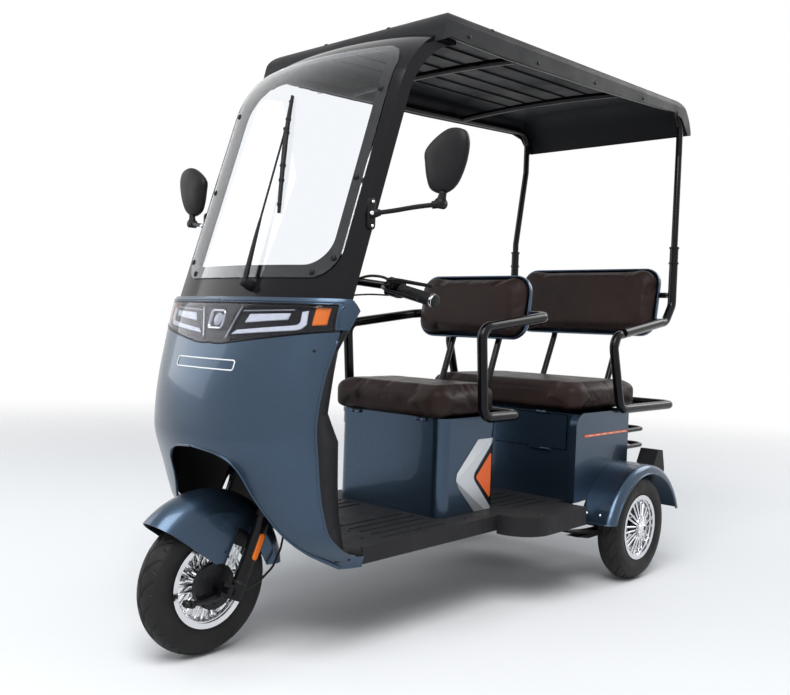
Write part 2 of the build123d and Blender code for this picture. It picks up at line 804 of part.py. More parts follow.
# The wiper: pivot boss, arm and blade, up the middle of the screen.
wiper_pivot = (58.0, 958.0)
wiper_arm = bent_tube([on_screen(*wiper_pivot, 26), on_screen(46, 1180, 24),
                       on_screen(30, 1390, 17)], 4, 60)
wiper_blade = bent_tube([on_screen(90, 1152, 11), on_screen(46, 1330, 13),
                         on_screen(5, 1490, 11)], 5.5, 100)
with BuildPart() as wiper:
    add(wiper_arm)
    add(wiper_blade)
    lean = radians(ws_lean)
    boss_plane = Plane(origin=at(*on_screen(*wiper_pivot, 2.5)), z_dir=(0, -cos(lean), sin(lean)))
    with BuildSketch(boss_plane):
        Circle(13)
    extrude(amount=30)
save(wiper.part, "wiper")

# ================================================================ mirrors
mirror_z = 1145.0
mirror_station = ws_station(mirror_z) + ws_sag(ws_half) + pillar_depth / 2
mirror_face = ws_half + seat_gap
mirror_head = [(530, 1351), (588, 1330), (586, 1286), (560, 1216), (512, 1190), (470, 1206),
               (454, 1306)]
mirror_thick = 26.0
mirror_stem = bent_tube([(mirror_face + 2, mirror_station, mirror_z),
                         (400, mirror_station + 22, mirror_z + 7),
                         (500, mirror_station + 60, mirror_z + 21),
                         (518, mirror_station + 66, mirror_z + 62)], 6, 14)
with BuildPart() as mirror_left:
    with BuildSketch(front(mirror_station + 66 + mirror_thick / 2)) as head:
        Polygon(*mirror_head, align=None)
        fillet(head.vertices(), 14)
    extrude(amount=mirror_thick)
    chamfer(mirror_left.faces().sort_by(Axis.Y)[0].edges(), 7)
    add(mirror_stem)
    with BuildSketch(side(mirror_face)):
        with Locations((mirror_station, mirror_z)):
            RectangleRounded(24, 78, 11)
    extrude(amount=6)
    with BuildSketch(side(mirror_face)):
        with Locations((mirror_station, mirror_z)):
            Circle(10)
    extrude(amount=22)
left_and_right(mirror_left.part, "mirror")

# ================================================================ canopy
# Its profile from the side: the lip over the windshield, the ridge, the tail and
# the hem along the side rims, as stations and heights.
crown = 17.0
roof_lip = [(445, 1628), (456, 1672), (478, 1707), (520, 1724)]
roof_tail = [(1800, 1776), (1925, 1748), (1985, 1660), (1985, 1650), (1957, 1650)]
roof_hem = [(483, 1646), (758, 1652), (1238, 1675), (1833, 1713), (1900, 1702)]
shoulder_front = (500, 1706)             # two points on the roof's side shoulder
shoulder_back = (1806, 1757)
roof_rise = asin((shoulder_back[1] - shoulder_front[1]) / (shoulder_back[0] - shoulder_front[0]))
shoulder = ((0, 32), (9, 14), (30, 2))   # its rounding: inward and down


def roof_block(inset):
    """The canopy's body, moved in by a wall, open below."""
    lip = [(station + inset, z - inset) for station, z in roof_lip]
    hem = [(station, z - 2 * inset) for station, z in roof_hem]
    tail = [(station - inset, z - inset) for station, z in roof_tail]
    with BuildPart() as block:
        with BuildSketch(side()):
            with BuildLine():
                Line(lip[0], lip[1])
                ThreePointArc(lip[1], lip[2], lip[3])
                Line(lip[3], tail[0])
                ThreePointArc(tail[0], tail[1], tail[2])
                Line(tail[2], tail[3])
                Line(tail[3], (roof_tail[4][0] + inset, tail[4][1]))
                Line((roof_tail[4][0] + inset, tail[4][1]), hem[4])
                Polyline(*hem[::-1], lip[0])
            make_face()
        extrude(amount=roof_half - inset, both=True)
        top = (shoulder_front[0], shoulder_front[1] + shoulder[1][1])
        with BuildSketch(Plane(origin=at(0, *top), x_dir=(1, 0, 0),
                               z_dir=(0, cos(roof_rise), sin(roof_rise)))):
            with BuildLine():
                half = roof_half - inset
                edge = [(half - inward, down + inset) for inward, down in shoulder]
                other = [(-across, down) for across, down in edge]
                Line((-half, 10 * crown), other[0])
                ThreePointArc(other[0], other[1], other[2])
                ThreePointArc(other[2], (0, inset - crown), edge[2])
                ThreePointArc(edge[2], edge[1], edge[0])
                Line(edge[0], (half, 10 * crown))
                Line((half, 10 * crown), (-half, 10 * crown))
            make_face()
        extrude(amount=roof_back, both=True, mode=Mode.INTERSECT)
    return block.part


roof_rib_width = 9.0
roof_rib_height = 5.0
roof_rib_pitch = 88.0
roof_rib_count = 6
roof_ribs = (610.0, 1660.0)
ridge_slope = (roof_tail[0][1] - roof_lip[3][1]) / (roof_tail[0][0] - roof_lip[3][0])
ceiling_front = roof_lip[3][1] - roof_skin - (roof_lip[3][0] - roof_ribs[0]) * ridge_slope
roof_outer = roof_block(0)
roof_inner = roof_block(roof_skin)
with BuildPart() as roof:
    add(roof_outer)
    add(roof_inner, mode=Mode.SUBTRACT)
    with BuildSketch(Plane(origin=at(0, roof_ribs[0], ceiling_front - roof_rib_height),
                           x_dir=(1, 0, 0), z_dir=(0, -ridge_slope, 1))):
        with Locations((0, (roof_ribs[1] - roof_ribs[0]) / 2)):
            with GridLocations(roof_rib_pitch, 0, roof_rib_count, 1):
                SlotOverall(roof_ribs[1] - roof_ribs[0], roof_rib_width, rotation=90)
    extrude(amount=roof_rib_height + roof_skin / 2)
    add(ws_band(ws_half + 2, -seat_gap, pillar_depth + 20, ws_cut_turn), mode=Mode.SUBTRACT)
save(roof.part, "roof")

# Each rear post rises from its armrest and bends forward into a side rail inside
# the rim. Cross bars join the two rails under the ceiling.
rail_rise = 14.0                         # height of the rail above the hem
rail_x = roof_half - roof_skin - seat_gap - post_radius
rail_line = [(rail_x, station, z + rail_rise) for station, z in roof_hem[:4]]
rail_end = rail_line[3]
post_station = 1925.0
post_bend = 60.0
post_shoulder = 1560.0
post_corner = rail_end[2] + (post_station - rail_end[1]) * ridge_slope
cross_stations = (820.0, 1450.0)
cross_rise = 12.0
cross_radius = 11.0


def rail_z(station):
    """The height of the side rail at a station."""
    for (_, s0, z0), (_, s1, z1) in zip(rail_line, rail_line[1:]):
        if s0 <= station <= s1:
            return z0 + (z1 - z0) * (station - s0) / (s1 - s0)


with BuildPart() as roof_bars:
    for station in cross_stations:
        reach = rail_x - post_radius - seat_gap
        with BuildLine() as arch_line:
            ThreePointArc(at(-reach, station, rail_z(station)),
                          at(0, station, rail_z(station) + cross_rise),
                          at(reach, station, rail_z(station)))
        with BuildSketch(Plane(origin=arch_line.line @ 0, z_dir=arch_line.line % 0)):
            Circle(cross_radius)
        sweep(path=arch_line.line)
save(roof_bars.part, "roof_bars")

# The rear posts: tube and sleeve with its two collars.
tube_x = rear_box_half + seat_gap + tube_radius
post_foot = 1132.0
post_bow = 1240.0
sleeve_top = 1205.0
collar_height = 7.0
collar_wall = 3.0
rear_tube_station = 1890.0
post_run = bent_tube([(tube_x, rear_tube_station, post_foot + seat_gap),
                      (tube_x, rear_tube_station, post_bow), (rail_x, post_station, post_shoulder),
                      (rail_x, post_station, post_corner), *rail_line[::-1]],
                     post_radius, post_bend)
with BuildPart() as roof_post:
    add(post_run)
    with BuildSketch(plan(post_foot + seat_gap)):
        with Locations((tube_x, rear_tube_station)):
            Circle(tube_radius)
    extrude(amount=sleeve_top - post_foot)
    for z in (post_foot + collar_height, sleeve_top - collar_height):
        with BuildSketch(plan(z)):
            with Locations((tube_x, rear_tube_station)):
                Circle(tube_radius + collar_wall)
        extrude(amount=collar_height)
left_and_right(roof_post.part, "roof_post")

# ================================================================ body boxes
floor_level = pan_top + seat_gap
front_box_length = front_box_back - front_box_front
front_box_round = 38.0
band_low = 540.0                         # the box's upper band stands a little proud
band_proud = 2.5
rim_low = 576.0                          # and so does the rim at its mouth
rim_proud = 5.0
with BuildPart() as front_box:
    for level, proud in ((floor_level, 0), (band_low, band_proud), (rim_low, rim_proud)):
        with BuildSketch(plan(level)):
            with Locations((0, (front_box_front + front_box_back) / 2)):
                RectangleRounded(2 * (front_box_half + proud), front_box_length + 2 * proud,
                                 front_box_round + proud)
        extrude(amount=box_top - level)
    with BuildSketch(plan(floor_level + box_wall)):
        with Locations((0, (front_box_front + front_box_back) / 2)):
            RectangleRounded(2 * (front_box_half - box_wall), front_box_length - 2 * box_wall,
                             front_box_round - box_wall)
    extrude(amount=box_top - floor_level, mode=Mode.SUBTRACT)
save(front_box.part, "front_box")

battery_height = 175.0
with BuildPart() as battery:
    with BuildSketch(plan(floor_level + box_wall + seat_gap)):
        with Locations((0, (front_box_front + front_box_back) / 2)):
            Rectangle(380, 181)
    extrude(amount=battery_height)
save(battery.part, "battery")

shelf_z = 450.0
flap_half = 300.0
flap_low = 462.0
flap_high = 578.0
flap_wall = 8.0
flap_gap = 3.0
knuckle_radius = 5.0
knuckle_x = 200.0
knuckle_length = 40.0
flap_pin = (rear_box_front - knuckle_radius, flap_low - knuckle_radius - 1.0)
flap_border = 16.0
flap_recess = 2.0
panel_front = 1245.0                     # the end panels stand ahead of the front wall
panel_width = 28.0
panel_round = 50.0
panel_foot = 1288.0                      # from here the side is cut up to the fender
panel_heel = 394.0
with BuildPart() as rear_box:
    with BuildSketch(side(-rear_box_half)):
        with BuildLine():
            Polyline((panel_front + panel_round, box_top), (rear_box_back, box_top),
                     (rear_box_back, panel_heel), (panel_foot, floor_level),
                     (panel_front, floor_level), (panel_front, box_top - panel_round))
            JernArc((panel_front, box_top - panel_round), (0, 1), panel_round, -90)
        make_face()
    extrude(amount=2 * rear_box_half)
    with BuildSketch(side(panel_width - rear_box_half)):
        with BuildLine():
            Polyline((panel_front - 1, 0), (panel_front - 1, 2 * box_top),
                     (rear_box_front, 2 * box_top), (rear_box_front, 0), close=True)
        make_face()
    extrude(amount=2 * (rear_box_half - panel_width), mode=Mode.SUBTRACT)
    with BuildSketch(side(box_wall - rear_box_half)):
        with BuildLine():
            Polyline((rear_box_front + box_wall, shelf_z), (rear_box_front + box_wall, 2 * box_top),
                     (rear_box_back - box_wall, 2 * box_top), (rear_box_back - box_wall, shelf_z),
                     close=True)
        make_face()
        with BuildLine():
            Polyline((rear_box_front + box_wall, 0), (rear_box_front + box_wall, shelf_z - box_wall),
                     (rear_box_back - box_wall, shelf_z - box_wall), (rear_box_back - box_wall, 0),
                     close=True)
        make_face()
    extrude(amount=2 * (rear_box_half - box_wall), mode=Mode.SUBTRACT)
    with BuildSketch(front(rear_box_front)):
        with Locations((0, (flap_low + flap_high) / 2)):
            Rectangle(2 * (flap_half + flap_gap), flap_high - flap_low + 2 * flap_gap)
    extrude(amount=-box_wall, mode=Mode.SUBTRACT)
    for x in (-knuckle_x - knuckle_length, knuckle_x):
        with BuildSketch(side(x)):
            with Locations(flap_pin):
                Circle(knuckle_radius)
                Rectangle(knuckle_radius + 1, 2 * knuckle_radius, align=(Align.MIN, Align.CENTER))
        extrude(amount=knuckle_length)
save(rear_box.part, "rear_box")

with BuildPart() as storage_flap:
    with BuildSketch(front(rear_box_front + box_wall)):
        with Locations((0, (flap_low + flap_high) / 2)):
            Rectangle(2 * flap_half, flap_high - flap_low)
    extrude(amount=flap_wall)
    with BuildSketch(front(rear_box_front + box_wall - flap_wall)):
        with Locations((0, (flap_low + flap_high) / 2)):
            RectangleRounded(2 * (flap_half - flap_border), flap_high - flap_low - 2 * flap_border,
                             flap_border / 2)
    extrude(amount=-flap_recess, mode=Mode.SUBTRACT)
    for x in (seat_gap - knuckle_x, knuckle_x - seat_gap - knuckle_length):
        with BuildSketch(side(x)):
            with Locations(flap_pin):
                Circle(knuckle_radius)
                Rectangle(2 * knuckle_radius, 2 * knuckle_radius, align=(Align.CENTER, Align.MIN))
        extrude(amount=knuckle_length)
save(storage_flap.part, "storage_flap")


def cushion(half, front_end, back_end, low, high, round_edge):
    """A soft pad with a flat base and rounded upper edges."""
    with BuildPart() as pad:
        with BuildSketch(plan(low)):
            with Locations((0, (front_end + back_end) / 2)):
                RectangleRounded(2 * half, back_end - front_end, 45)
        extrude(amount=high - low)
        fillet(pad.faces().sort_by(Axis.Z)[-1].edges(), round_edge)
    return pad.part


cushion_low = box_top + seat_gap
cushion_high = cushion_low + cushion_height
front_cushion_back = front_box_back - 6
save(cushion(front_cushion_half, front_cushion_front, front_cushion_back, cushion_low,
             cushion_high, 30), "front_seat")
save(cushion(rear_cushion_half, rear_cushion_front, rear_cushion_back, cushion_low,
             cushion_high, 30), "rear_seat")


def backrest(half, low, high, face, tilt, thick):
    """A padded back leaning rearwards, rounded all round."""
    lean = radians(tilt)
    middle = at(0, face, (low + high) / 2)
    with BuildPart() as pad:
        with BuildSketch(Plane(origin=middle, x_dir=(1, 0, 0), z_dir=(0, cos(lean), -sin(lean)))):
            RectangleRounded(2 * half, high - low, 60)
        extrude(amount=thick)
        fillet(pad.faces().filter_by(GeomType.PLANE).sort_by(Axis.Y)[0].edges(), 22)
    return pad.part


backrest_thick = 62.0
front_back = (837.0, 1056.0, 1072.0, 8.0)     # foot, top, face station, tilt
rear_back = (862.0, 1134.0, 1838.0, 10.0)


def behind(back, z, clear):
    """The station of a point behind a backrest at a height, this far off its back."""
    low, high, face, tilt = back
    lean = radians(tilt)
    return face + (backrest_thick + clear) / cos(lean) + (z - (low + high) / 2) * tan(lean)


save(backrest(232, *front_back, backrest_thick), "front_backrest")
save(backrest(316, *rear_back, backrest_thick), "rear_backrest")

# ================================================================ armrests
front_arm_x = 287.0
front_rail_station = front_box_back + rim_proud + seat_gap + tube_radius
upper_rail_z = 914.0
upper_rail_station = behind(front_back, upper_rail_z, tube_radius + seat_gap)
front_loop = bent_tube([(0, front_rail_station, rail_level),
                        (front_arm_x, front_rail_station, rail_level),
                        (front_arm_x, 806, rail_level), (front_arm_x, 782, 868),
                        (front_arm_x, upper_rail_station, upper_rail_z),
                        (0, upper_rail_station, upper_rail_z)], tube_radius, 40)
strut_x = 100.0
strut_radius = 11.0
front_strut = bent_tube([(strut_x, front_rail_station, rail_level),
                         (strut_x, 1050, rail_level + 16),
                         (strut_x, behind(front_back, 836, strut_radius + 5), 836),
                         (strut_x, behind(front_back, 925, strut_radius + 2), 925)],
                        strut_radius, 40)
with BuildPart() as front_armrest:
    add(front_loop)
    add(front_strut)
left_and_right(front_armrest.part, "front_armrest")

rest_front = (1436.0, 852.0)             # the armrest's upper run, front to back
rest_back = (1840.0, 915.0)
rear_loop = bent_tube([(0, 1935, rail_level), (tube_x, 1935, rail_level),
                       (tube_x, 1512, rail_level), (tube_x, *rest_front), (tube_x, *rest_back),
                       (tube_x, rear_tube_station, 980), (tube_x, rear_tube_station, post_foot)],
                      tube_radius, 45)
rest_slope = (rest_back[1] - rest_front[1]) / (rest_back[0] - rest_front[0])
pad_front = 1500.0
pad_length = 290.0
pad_width = 46.0
pad_height = 30.0
pad_lift = 5.0
pad_z = rest_front[1] + (pad_front - rest_front[0]) * rest_slope + pad_lift
link_radius = 11.0
link_z = 1020.0
link_station = behind(rear_back, link_z, link_radius + seat_gap)
link_tube = bent_tube([(tube_x, rear_tube_station, link_z), (tube_x - 32, link_station, link_z),
                       (230, link_station, link_z)], link_radius, 20)
with BuildPart() as rear_armrest:
    add(rear_loop)
    add(link_tube)
    with BuildSketch(Plane(origin=at(tube_x, pad_front, pad_z), x_dir=(1, 0, 0),
                           z_dir=(0, 1, rest_slope))):
        RectangleRounded(pad_width, pad_height, pad_height / 2 - 1)
    extrude(amount=pad_length)
left_and_right(rear_armrest.part, "rear_armrest")

rear_strut_x = 150.0
rear_strut_radius = 12.0
rear_strut_off = rear_strut_radius + seat_gap
rear_strut = bent_tube([(rear_strut_x, rear_box_back + seat_gap, 565), (rear_strut_x, 1758, 565),
                        (rear_strut_x, behind(rear_back, 845, rear_strut_off), 845),
                        (rear_strut_x, behind(rear_back, 985, rear_strut_off), 985)],
                       rear_strut_radius, 50)
with BuildPart() as backrest_struts:
    add(rear_strut)
    mirror(about=Plane.YZ)
save(backrest_struts.part, "backrest_struts")

rack_half = 250.0
rack_back = 1950.0
rack_radius = 8.0
rack_levels = (486.0, 422.0)
with BuildPart() as rear_rack:
    for z in rack_levels:
        add(bent_tube([(-rack_half, rear_box_back + seat_gap, z), (-rack_half, rack_back, z),
                       (rack_half, rack_back, z), (rack_half, rear_box_back + seat_gap, z)],
                      rack_radius, 45))
save(rear_rack.part, "rear_rack")

# ================================================================ rear fenders
fender_station = 1549.0
fender_z = 127.0
fender_radius = 278.0
fender_outer = 475.0
fender_inner = rear_box_half + seat_gap
fender_skin = 3.0
fender_round = 25.0
fender_low = 222.0
fender_centre = at(0, fender_station, fender_z)
with BuildPart() as rear_fender:
    with BuildSketch(Plane(origin=fender_centre, x_dir=(1, 0, 0), z_dir=(0, -1, 0))):
        with BuildLine():
            Line((fender_inner, fender_radius), (fender_outer - fender_round, fender_radius))
            JernArc((fender_outer - fender_round, fender_radius), (1, 0), fender_round, -90)
            Line((fender_outer, fender_radius - fender_round),
                 (fender_outer, fender_radius - fender_round - 8))
            Line((fender_outer, fender_radius - fender_round - 8),
                 (fender_outer - fender_skin, fender_radius - fender_round - 8))
            Line((fender_outer - fender_skin, fender_radius - fender_round - 8),
                 (fender_outer - fender_skin, fender_radius - fender_round))
            JernArc((fender_outer - fender_skin, fender_radius - fender_round), (0, 1),
                    fender_round - fender_skin, 90)
            Line((fender_outer - fender_round, fender_radius - fender_skin),
                 (fender_inner, fender_radius - fender_skin))
            Line((fender_inner, fender_radius - fender_skin), (fender_inner, fender_radius))
        make_face()
    revolve(axis=Axis(fender_centre, (1, 0, 0)))
    with BuildSketch(plan(fender_low)):
        with Locations((0, fender_station)):
            Rectangle(1000, 700)
    extrude(amount=300, mode=Mode.INTERSECT)
left_and_right(rear_fender.part, "rear_fender")

with BuildPart() as tail_lamps:
    for x in (-438, 368):
        with BuildSketch(side(x)):
            with BuildLine():
                Polyline((1648, 380), (1686, 444), (1722, 440), (1740, 372), (1730, 300),
                         (1650, 300), close=True)
            make_face()
        extrude(amount=70)
    with BuildSketch(side(-500)):
        with Locations((fender_station, fender_z)):
            Circle(fender_radius + seat_gap)
    extrude(amount=1000, mode=Mode.SUBTRACT)
save(tail_lamps.part, "tail_lamps")

# ================================================================ rear axle
axle_tube_radius = 28.0
drum_radius = 70.0
spring_seat = tyre_radius - axle_tube_radius - seat_gap
with BuildPart() as rear_axle:
    with BuildSketch(side(-rear_track / 2 - rear_hub_outer - 10)):
        with Locations((wheelbase, tyre_radius)):
            Circle(axle_radius)
    extrude(amount=rear_track + 2 * rear_hub_outer + 20)
    with BuildSketch(side(-352)):
        with Locations((wheelbase, tyre_radius)):
            Circle(axle_tube_radius)
    extrude(amount=704)
    for x in (-388, 350):
        with BuildSketch(side(x)):
            with Locations((wheelbase, tyre_radius)):
                Circle(drum_radius)
        extrude(amount=38)
    with BuildSketch(side(-70)):
        with Locations((wheelbase, tyre_radius)):
            Circle(78)
    extrude(amount=110)
    with BuildSketch(side(40)):
        with Locations((wheelbase, tyre_radius)):
            Circle(66)
    extrude(amount=90)
save(rear_axle.part, "rear_axle")

spring_leaf = 7.0
with BuildPart() as leaf_springs:
    for x in (-spring_x - spring_width / 2, spring_x - spring_width / 2):
        with BuildSketch(side(x)):
            top = spring_seat
            with BuildLine():
                ThreePointArc((spring_front, spring_eye_z), (wheelbase, top),
                              (spring_back, spring_eye_z))
                Line((spring_back, spring_eye_z), (spring_back, spring_eye_z - spring_leaf))
                ThreePointArc((spring_back, spring_eye_z - spring_leaf),
                              (wheelbase, top - spring_leaf),
                              (spring_front, spring_eye_z - spring_leaf))
                Line((spring_front, spring_eye_z - spring_leaf), (spring_front, spring_eye_z))
            make_face()
            with BuildLine():
                Polyline((wheelbase - 200, top - 2), (wheelbase - 120, top - 18),
                         (wheelbase + 120, top - 18), (wheelbase + 200, top - 2),
                         (wheelbase, top - 4), close=True)
            make_face()
            with Locations((spring_front, spring_eye_z), (spring_back, spring_eye_z)):
                Circle(spring_eye_radius - 2)
        extrude(amount=spring_width)
save(leaf_springs.part, "leaf_springs")
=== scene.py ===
"""The look of an electric passenger tricycle: finishes, soft seats and small trim around its frame.

X points to the vehicle's left, Y to its rear, Z up, in metres. Places along the length are
stations, distances behind the front axle, as in the model of the frame.
"""
import json
import math

import bpy
import numpy as np
from mathutils import Matrix, Vector


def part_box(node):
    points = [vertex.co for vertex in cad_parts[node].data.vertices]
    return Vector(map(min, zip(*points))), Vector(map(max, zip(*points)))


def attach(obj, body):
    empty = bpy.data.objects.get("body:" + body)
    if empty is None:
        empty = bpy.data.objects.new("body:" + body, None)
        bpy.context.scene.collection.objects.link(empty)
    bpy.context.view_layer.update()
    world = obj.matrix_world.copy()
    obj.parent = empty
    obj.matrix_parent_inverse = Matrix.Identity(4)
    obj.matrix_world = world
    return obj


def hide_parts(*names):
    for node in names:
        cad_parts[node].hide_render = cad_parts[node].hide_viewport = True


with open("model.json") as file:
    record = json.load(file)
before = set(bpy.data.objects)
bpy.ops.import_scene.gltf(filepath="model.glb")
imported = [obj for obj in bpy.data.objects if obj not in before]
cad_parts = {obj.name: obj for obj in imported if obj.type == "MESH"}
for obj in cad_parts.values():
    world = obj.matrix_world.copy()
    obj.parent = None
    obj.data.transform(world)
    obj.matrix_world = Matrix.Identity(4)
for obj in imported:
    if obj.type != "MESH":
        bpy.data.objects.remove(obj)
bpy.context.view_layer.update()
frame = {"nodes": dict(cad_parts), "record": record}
nodes = frame["nodes"]

TYRE_RADIUS = 0.185
AXLE_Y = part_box("front_tyre")[0][1] + TYRE_RADIUS          # the front axle's place along Y
WHEELBASE = 1.527
HALF_TRACK = 0.4215
AHEAD = -0.4                             # a station well ahead of the nose
ASIDE = 0.6                              # an offset well outside the body
UP = np.array([0.0, 0.0, 1.0])


def at(x, station, z):
    """A point from its offset to the left, its station and its height."""
    return np.array([x, AXLE_Y + station, z])


def places(rows):
    """Several points, a row of offset, station and height for each."""
    return np.array(rows, float) + [0.0, AXLE_Y, 0.0]


def new_object(name, data):
    """An object in the scene for a mesh, a lamp or a camera."""
    made = bpy.data.objects.new(name, data)
    bpy.context.scene.collection.objects.link(made)
    return made


# ---- camera
def set_camera():
    """A camera to the front left, at seat height, turned by its yaw, pitch and roll."""
    yaw, pitch, roll = 0.7362, 0.028, 0.0359
    back = Vector((math.sin(yaw) * math.cos(pitch), -math.cos(yaw) * math.cos(pitch),
        math.sin(pitch)))
    level = Vector((math.cos(yaw), math.sin(yaw), 0.0))
    upright = back.cross(level)
    right = math.cos(roll) * level + math.sin(roll) * upright
    top = math.cos(roll) * upright - math.sin(roll) * level
    data = bpy.data.cameras.new("camera")
    data.sensor_width = 36.0
    data.lens = 40.44
    camera = new_object("camera", data)
    place = Matrix.Translation(at(1.8906, -1.3749, 0.8751))
    camera.matrix_world = place @ Matrix((right, top, back)).transposed().to_4x4()
    bpy.context.scene.camera = camera


set_camera()


# ---- mesh helpers
def unit(vector):
    """A vector, or each row of an array, brought to length one."""
    return vector / np.linalg.norm(vector, axis=-1, keepdims=True)


def square_to(direction):
    """A unit vector square to a direction."""
    return unit(np.cross(direction, UP if abs(direction[2]) < 0.9 else [1.0, 0.0, 0.0]))


def circle(side, other, count):
    """Spokes round a full turn: cosine times one axis plus sine times the other."""
    angle = np.linspace(0, 2 * np.pi, count, endpoint=False)[:, None]
    return np.cos(angle) * side + np.sin(angle) * other


def grid_faces(rows, columns, wrap_rows=False, wrap_columns=False):
    """Quads over a grid of points, as an index array."""
    row = np.arange(rows if wrap_rows else rows - 1)
    column = np.arange(columns if wrap_columns else columns - 1)
    r, c = np.meshgrid(row, column, indexing="ij")
    r2, c2 = (r + 1) % rows, (c + 1) % columns
    quads = np.stack([r * columns + c, r * columns + c2, r2 * columns + c2, r2 * columns + c], -1)
    return quads.reshape(-1, 4)


def make_piece(name, parts, slot, finish=None, body="chassis", replaced=None, smooth=True):
    """One object from several (points, faces) parts, riding on a body with its finish."""
    points, faces, start = [], [], 0
    for part_points, part_faces in parts:
        flat = np.asarray(part_points, float).reshape(-1, 3)
        points.append(flat)
        faces.extend([[int(i) + start for i in face] for face in part_faces])
        start += len(flat)
    mesh = bpy.data.meshes.new(name)
    mesh.from_pydata(np.concatenate(points).tolist(), [], faces)
    mesh.polygons.foreach_set("use_smooth", np.full(len(mesh.polygons), smooth))
    mesh.validate()
    mesh.update()
    piece = new_object(name, mesh)
    piece.data.materials.append((finish or finishes[slot]).material)
    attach(piece, body)
    if replaced:
        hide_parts(replaced)
    return piece


def modify(piece, kind, **settings):
    """A modifier with its settings."""
    made = piece.modifiers.new(kind.lower(), kind)
    for key, value in settings.items():
        setattr(made, key, value)
    return made


def settle(piece):
    """Applies a piece's modifiers to its mesh."""
    bpy.context.view_layer.update()
    graph = bpy.context.evaluated_depsgraph_get()
    mesh = bpy.data.meshes.new_from_object(piece.evaluated_get(graph))
    old = piece.data
    piece.modifiers.clear()
    piece.data = mesh
    bpy.data.meshes.remove(old)


def frames_along(path):
    """Two unit normals at each point of a path, carried along it without twist."""
    tangent = unit(np.gradient(path, axis=0))
    side = [square_to(tangent[0])]
    for direction in tangent[1:]:
        side.append(unit(side[-1] - direction * np.dot(side[-1], direction)))
    side = np.array(side)
    return side, np.cross(tangent, side)


def tube(path, radius, sides=12):
    """A round profile carried along a path; the radius may change from point to point."""
    path = np.asarray(path, float)
    side, normal = frames_along(path)
    reach = np.broadcast_to(np.asarray(radius, float), (len(path),))[:, None, None]
    points = path[:, None] + reach * circle(side[:, None], normal[:, None], sides)
    faces = grid_faces(len(path), sides, wrap_columns=True)[:, ::-1].tolist()
    last = (len(path) - 1) * sides
    return points, faces + [list(range(sides)), list(range(last + sides - 1, last - 1, -1))]


def catmull_rom(knots, t):
    """The cubic through a row of knots, at parameters counted from the second knot.

    Between knots b and c, with a before and d after, each point is half of
    2b + (c - a)u + (2a - 5b + 4c - d)u^2 + (3b - a - 3c + d)u^3.
    """
    i = t.astype(int)
    u = (t - i)[:, None]
    a, b, c, d = (knots[i + k] for k in range(4))
    return 0.5 * (2 * b + (c - a) * u + (2 * a - 5 * b + 4 * c - d) * u ** 2
        + (3 * b - a - 3 * c + d) * u ** 3)


def curve_through(knots, count=40):
    """A smooth open path through knots, its ends carried on straight."""
    knots = np.asarray(knots, float)
    padded = np.vstack([2 * knots[0] - knots[1], knots, 2 * knots[-1] - knots[-2]])
    return catmull_rom(padded, np.linspace(0, len(knots) - 1 - 1e-9, count))


def closed_curve(knots, count):
    """A smooth closed line through knots."""
    knots = np.asarray(knots, float)
    ring = np.vstack([knots[-1], knots, knots[0], knots[1]])
    return catmull_rom(ring, np.linspace(0, len(knots), count, endpoint=False))


def lathe(profile, centre, axis, turns=64):
    """A profile of (along the axis, radius) turned about an axis through a centre."""
    profile = np.asarray(profile, float)
    axis = unit(np.asarray(axis, float))
    side = square_to(axis)
    ring = circle(side, np.cross(axis, side), turns)
    points = (np.asarray(centre) + profile[None, :, 0, None] * axis
        + profile[None, :, 1, None] * ring[:, None])
    return points, grid_faces(turns, len(profile), wrap_rows=True).tolist()


def drum(ends, radius, centre, axis, turns):
    """A closed cylinder between two places along an axis."""
    start, stop = ends
    return lathe([(start, 0.0), (start, radius), (stop, radius), (stop, 0.0)], centre, axis, turns)


def domes(centres, normals, radius, height):
    """Low round heads standing on a surface: half an ellipse turned about each normal."""
    turns = 14
    lift = np.linspace(0, np.pi / 2, 5)
    profile = np.stack([height * np.sin(lift), radius * np.cos(lift)], 1)
    profile[-1, 1] = radius * 0.02
    profile = np.vstack([[-height * 0.4, radius], profile])
    count = len(profile)
    parts = []
    for centre, normal in zip(centres, normals):
        points, faces = lathe(profile, centre, normal, turns)
        faces.append([k * count + count - 1 for k in range(turns)])
        faces.append([k * count for k in range(turns)][::-1])
        parts.append((points, faces))
    return parts


def patch(a, b, c, d, rows, columns):
    """A flat quad a-b-c-d as a fine grid, each point blended from the corners."""
    u = np.linspace(0, 1, columns)[None, :, None]
    v = np.linspace(0, 1, rows)[:, None, None]
    points = (a * (1 - u) + b * u) * (1 - v) + (d * (1 - u) + c * u) * v
    return points, grid_faces(rows, columns).tolist()


def pillow(a, b, c, d, bulge, rows=16, columns=24):
    """A quad a-b-c-d that swells along its normal as (1 - u^4)(1 - v^4), down to its edges."""
    points, faces = patch(a, b, c, d, rows, columns)
    u = np.linspace(-1, 1, columns)[None, :, None]
    v = np.linspace(-1, 1, rows)[:, None, None]
    return points + bulge * (1 - u ** 4) * (1 - v ** 4) * unit(np.cross(b - a, d - a)), faces


def ribbon(first, second, count=12, across=6):
    """A strip between two broken lines with matching knots, each run divided evenly."""
    t = np.linspace(0, len(first) - 1, (len(first) - 1) * count + 1)
    knots = np.arange(len(first))
    lines = [np.stack([np.interp(t, knots, column) for column in np.transpose(line)], 1)
        for line in (first, second)]
    v = np.linspace(0, 1, across)[:, None, None]
    return lines[0] * (1 - v) + lines[1] * v, grid_faces(across, len(t)).tolist()


def mirrored(parts):
    """The parts and their mirror images across the middle plane."""
    flip = np.array([-1.0, 1.0, 1.0])
    return parts + [(np.asarray(points) * flip, [list(face)[::-1] for face in faces])
        for points, faces in parts]


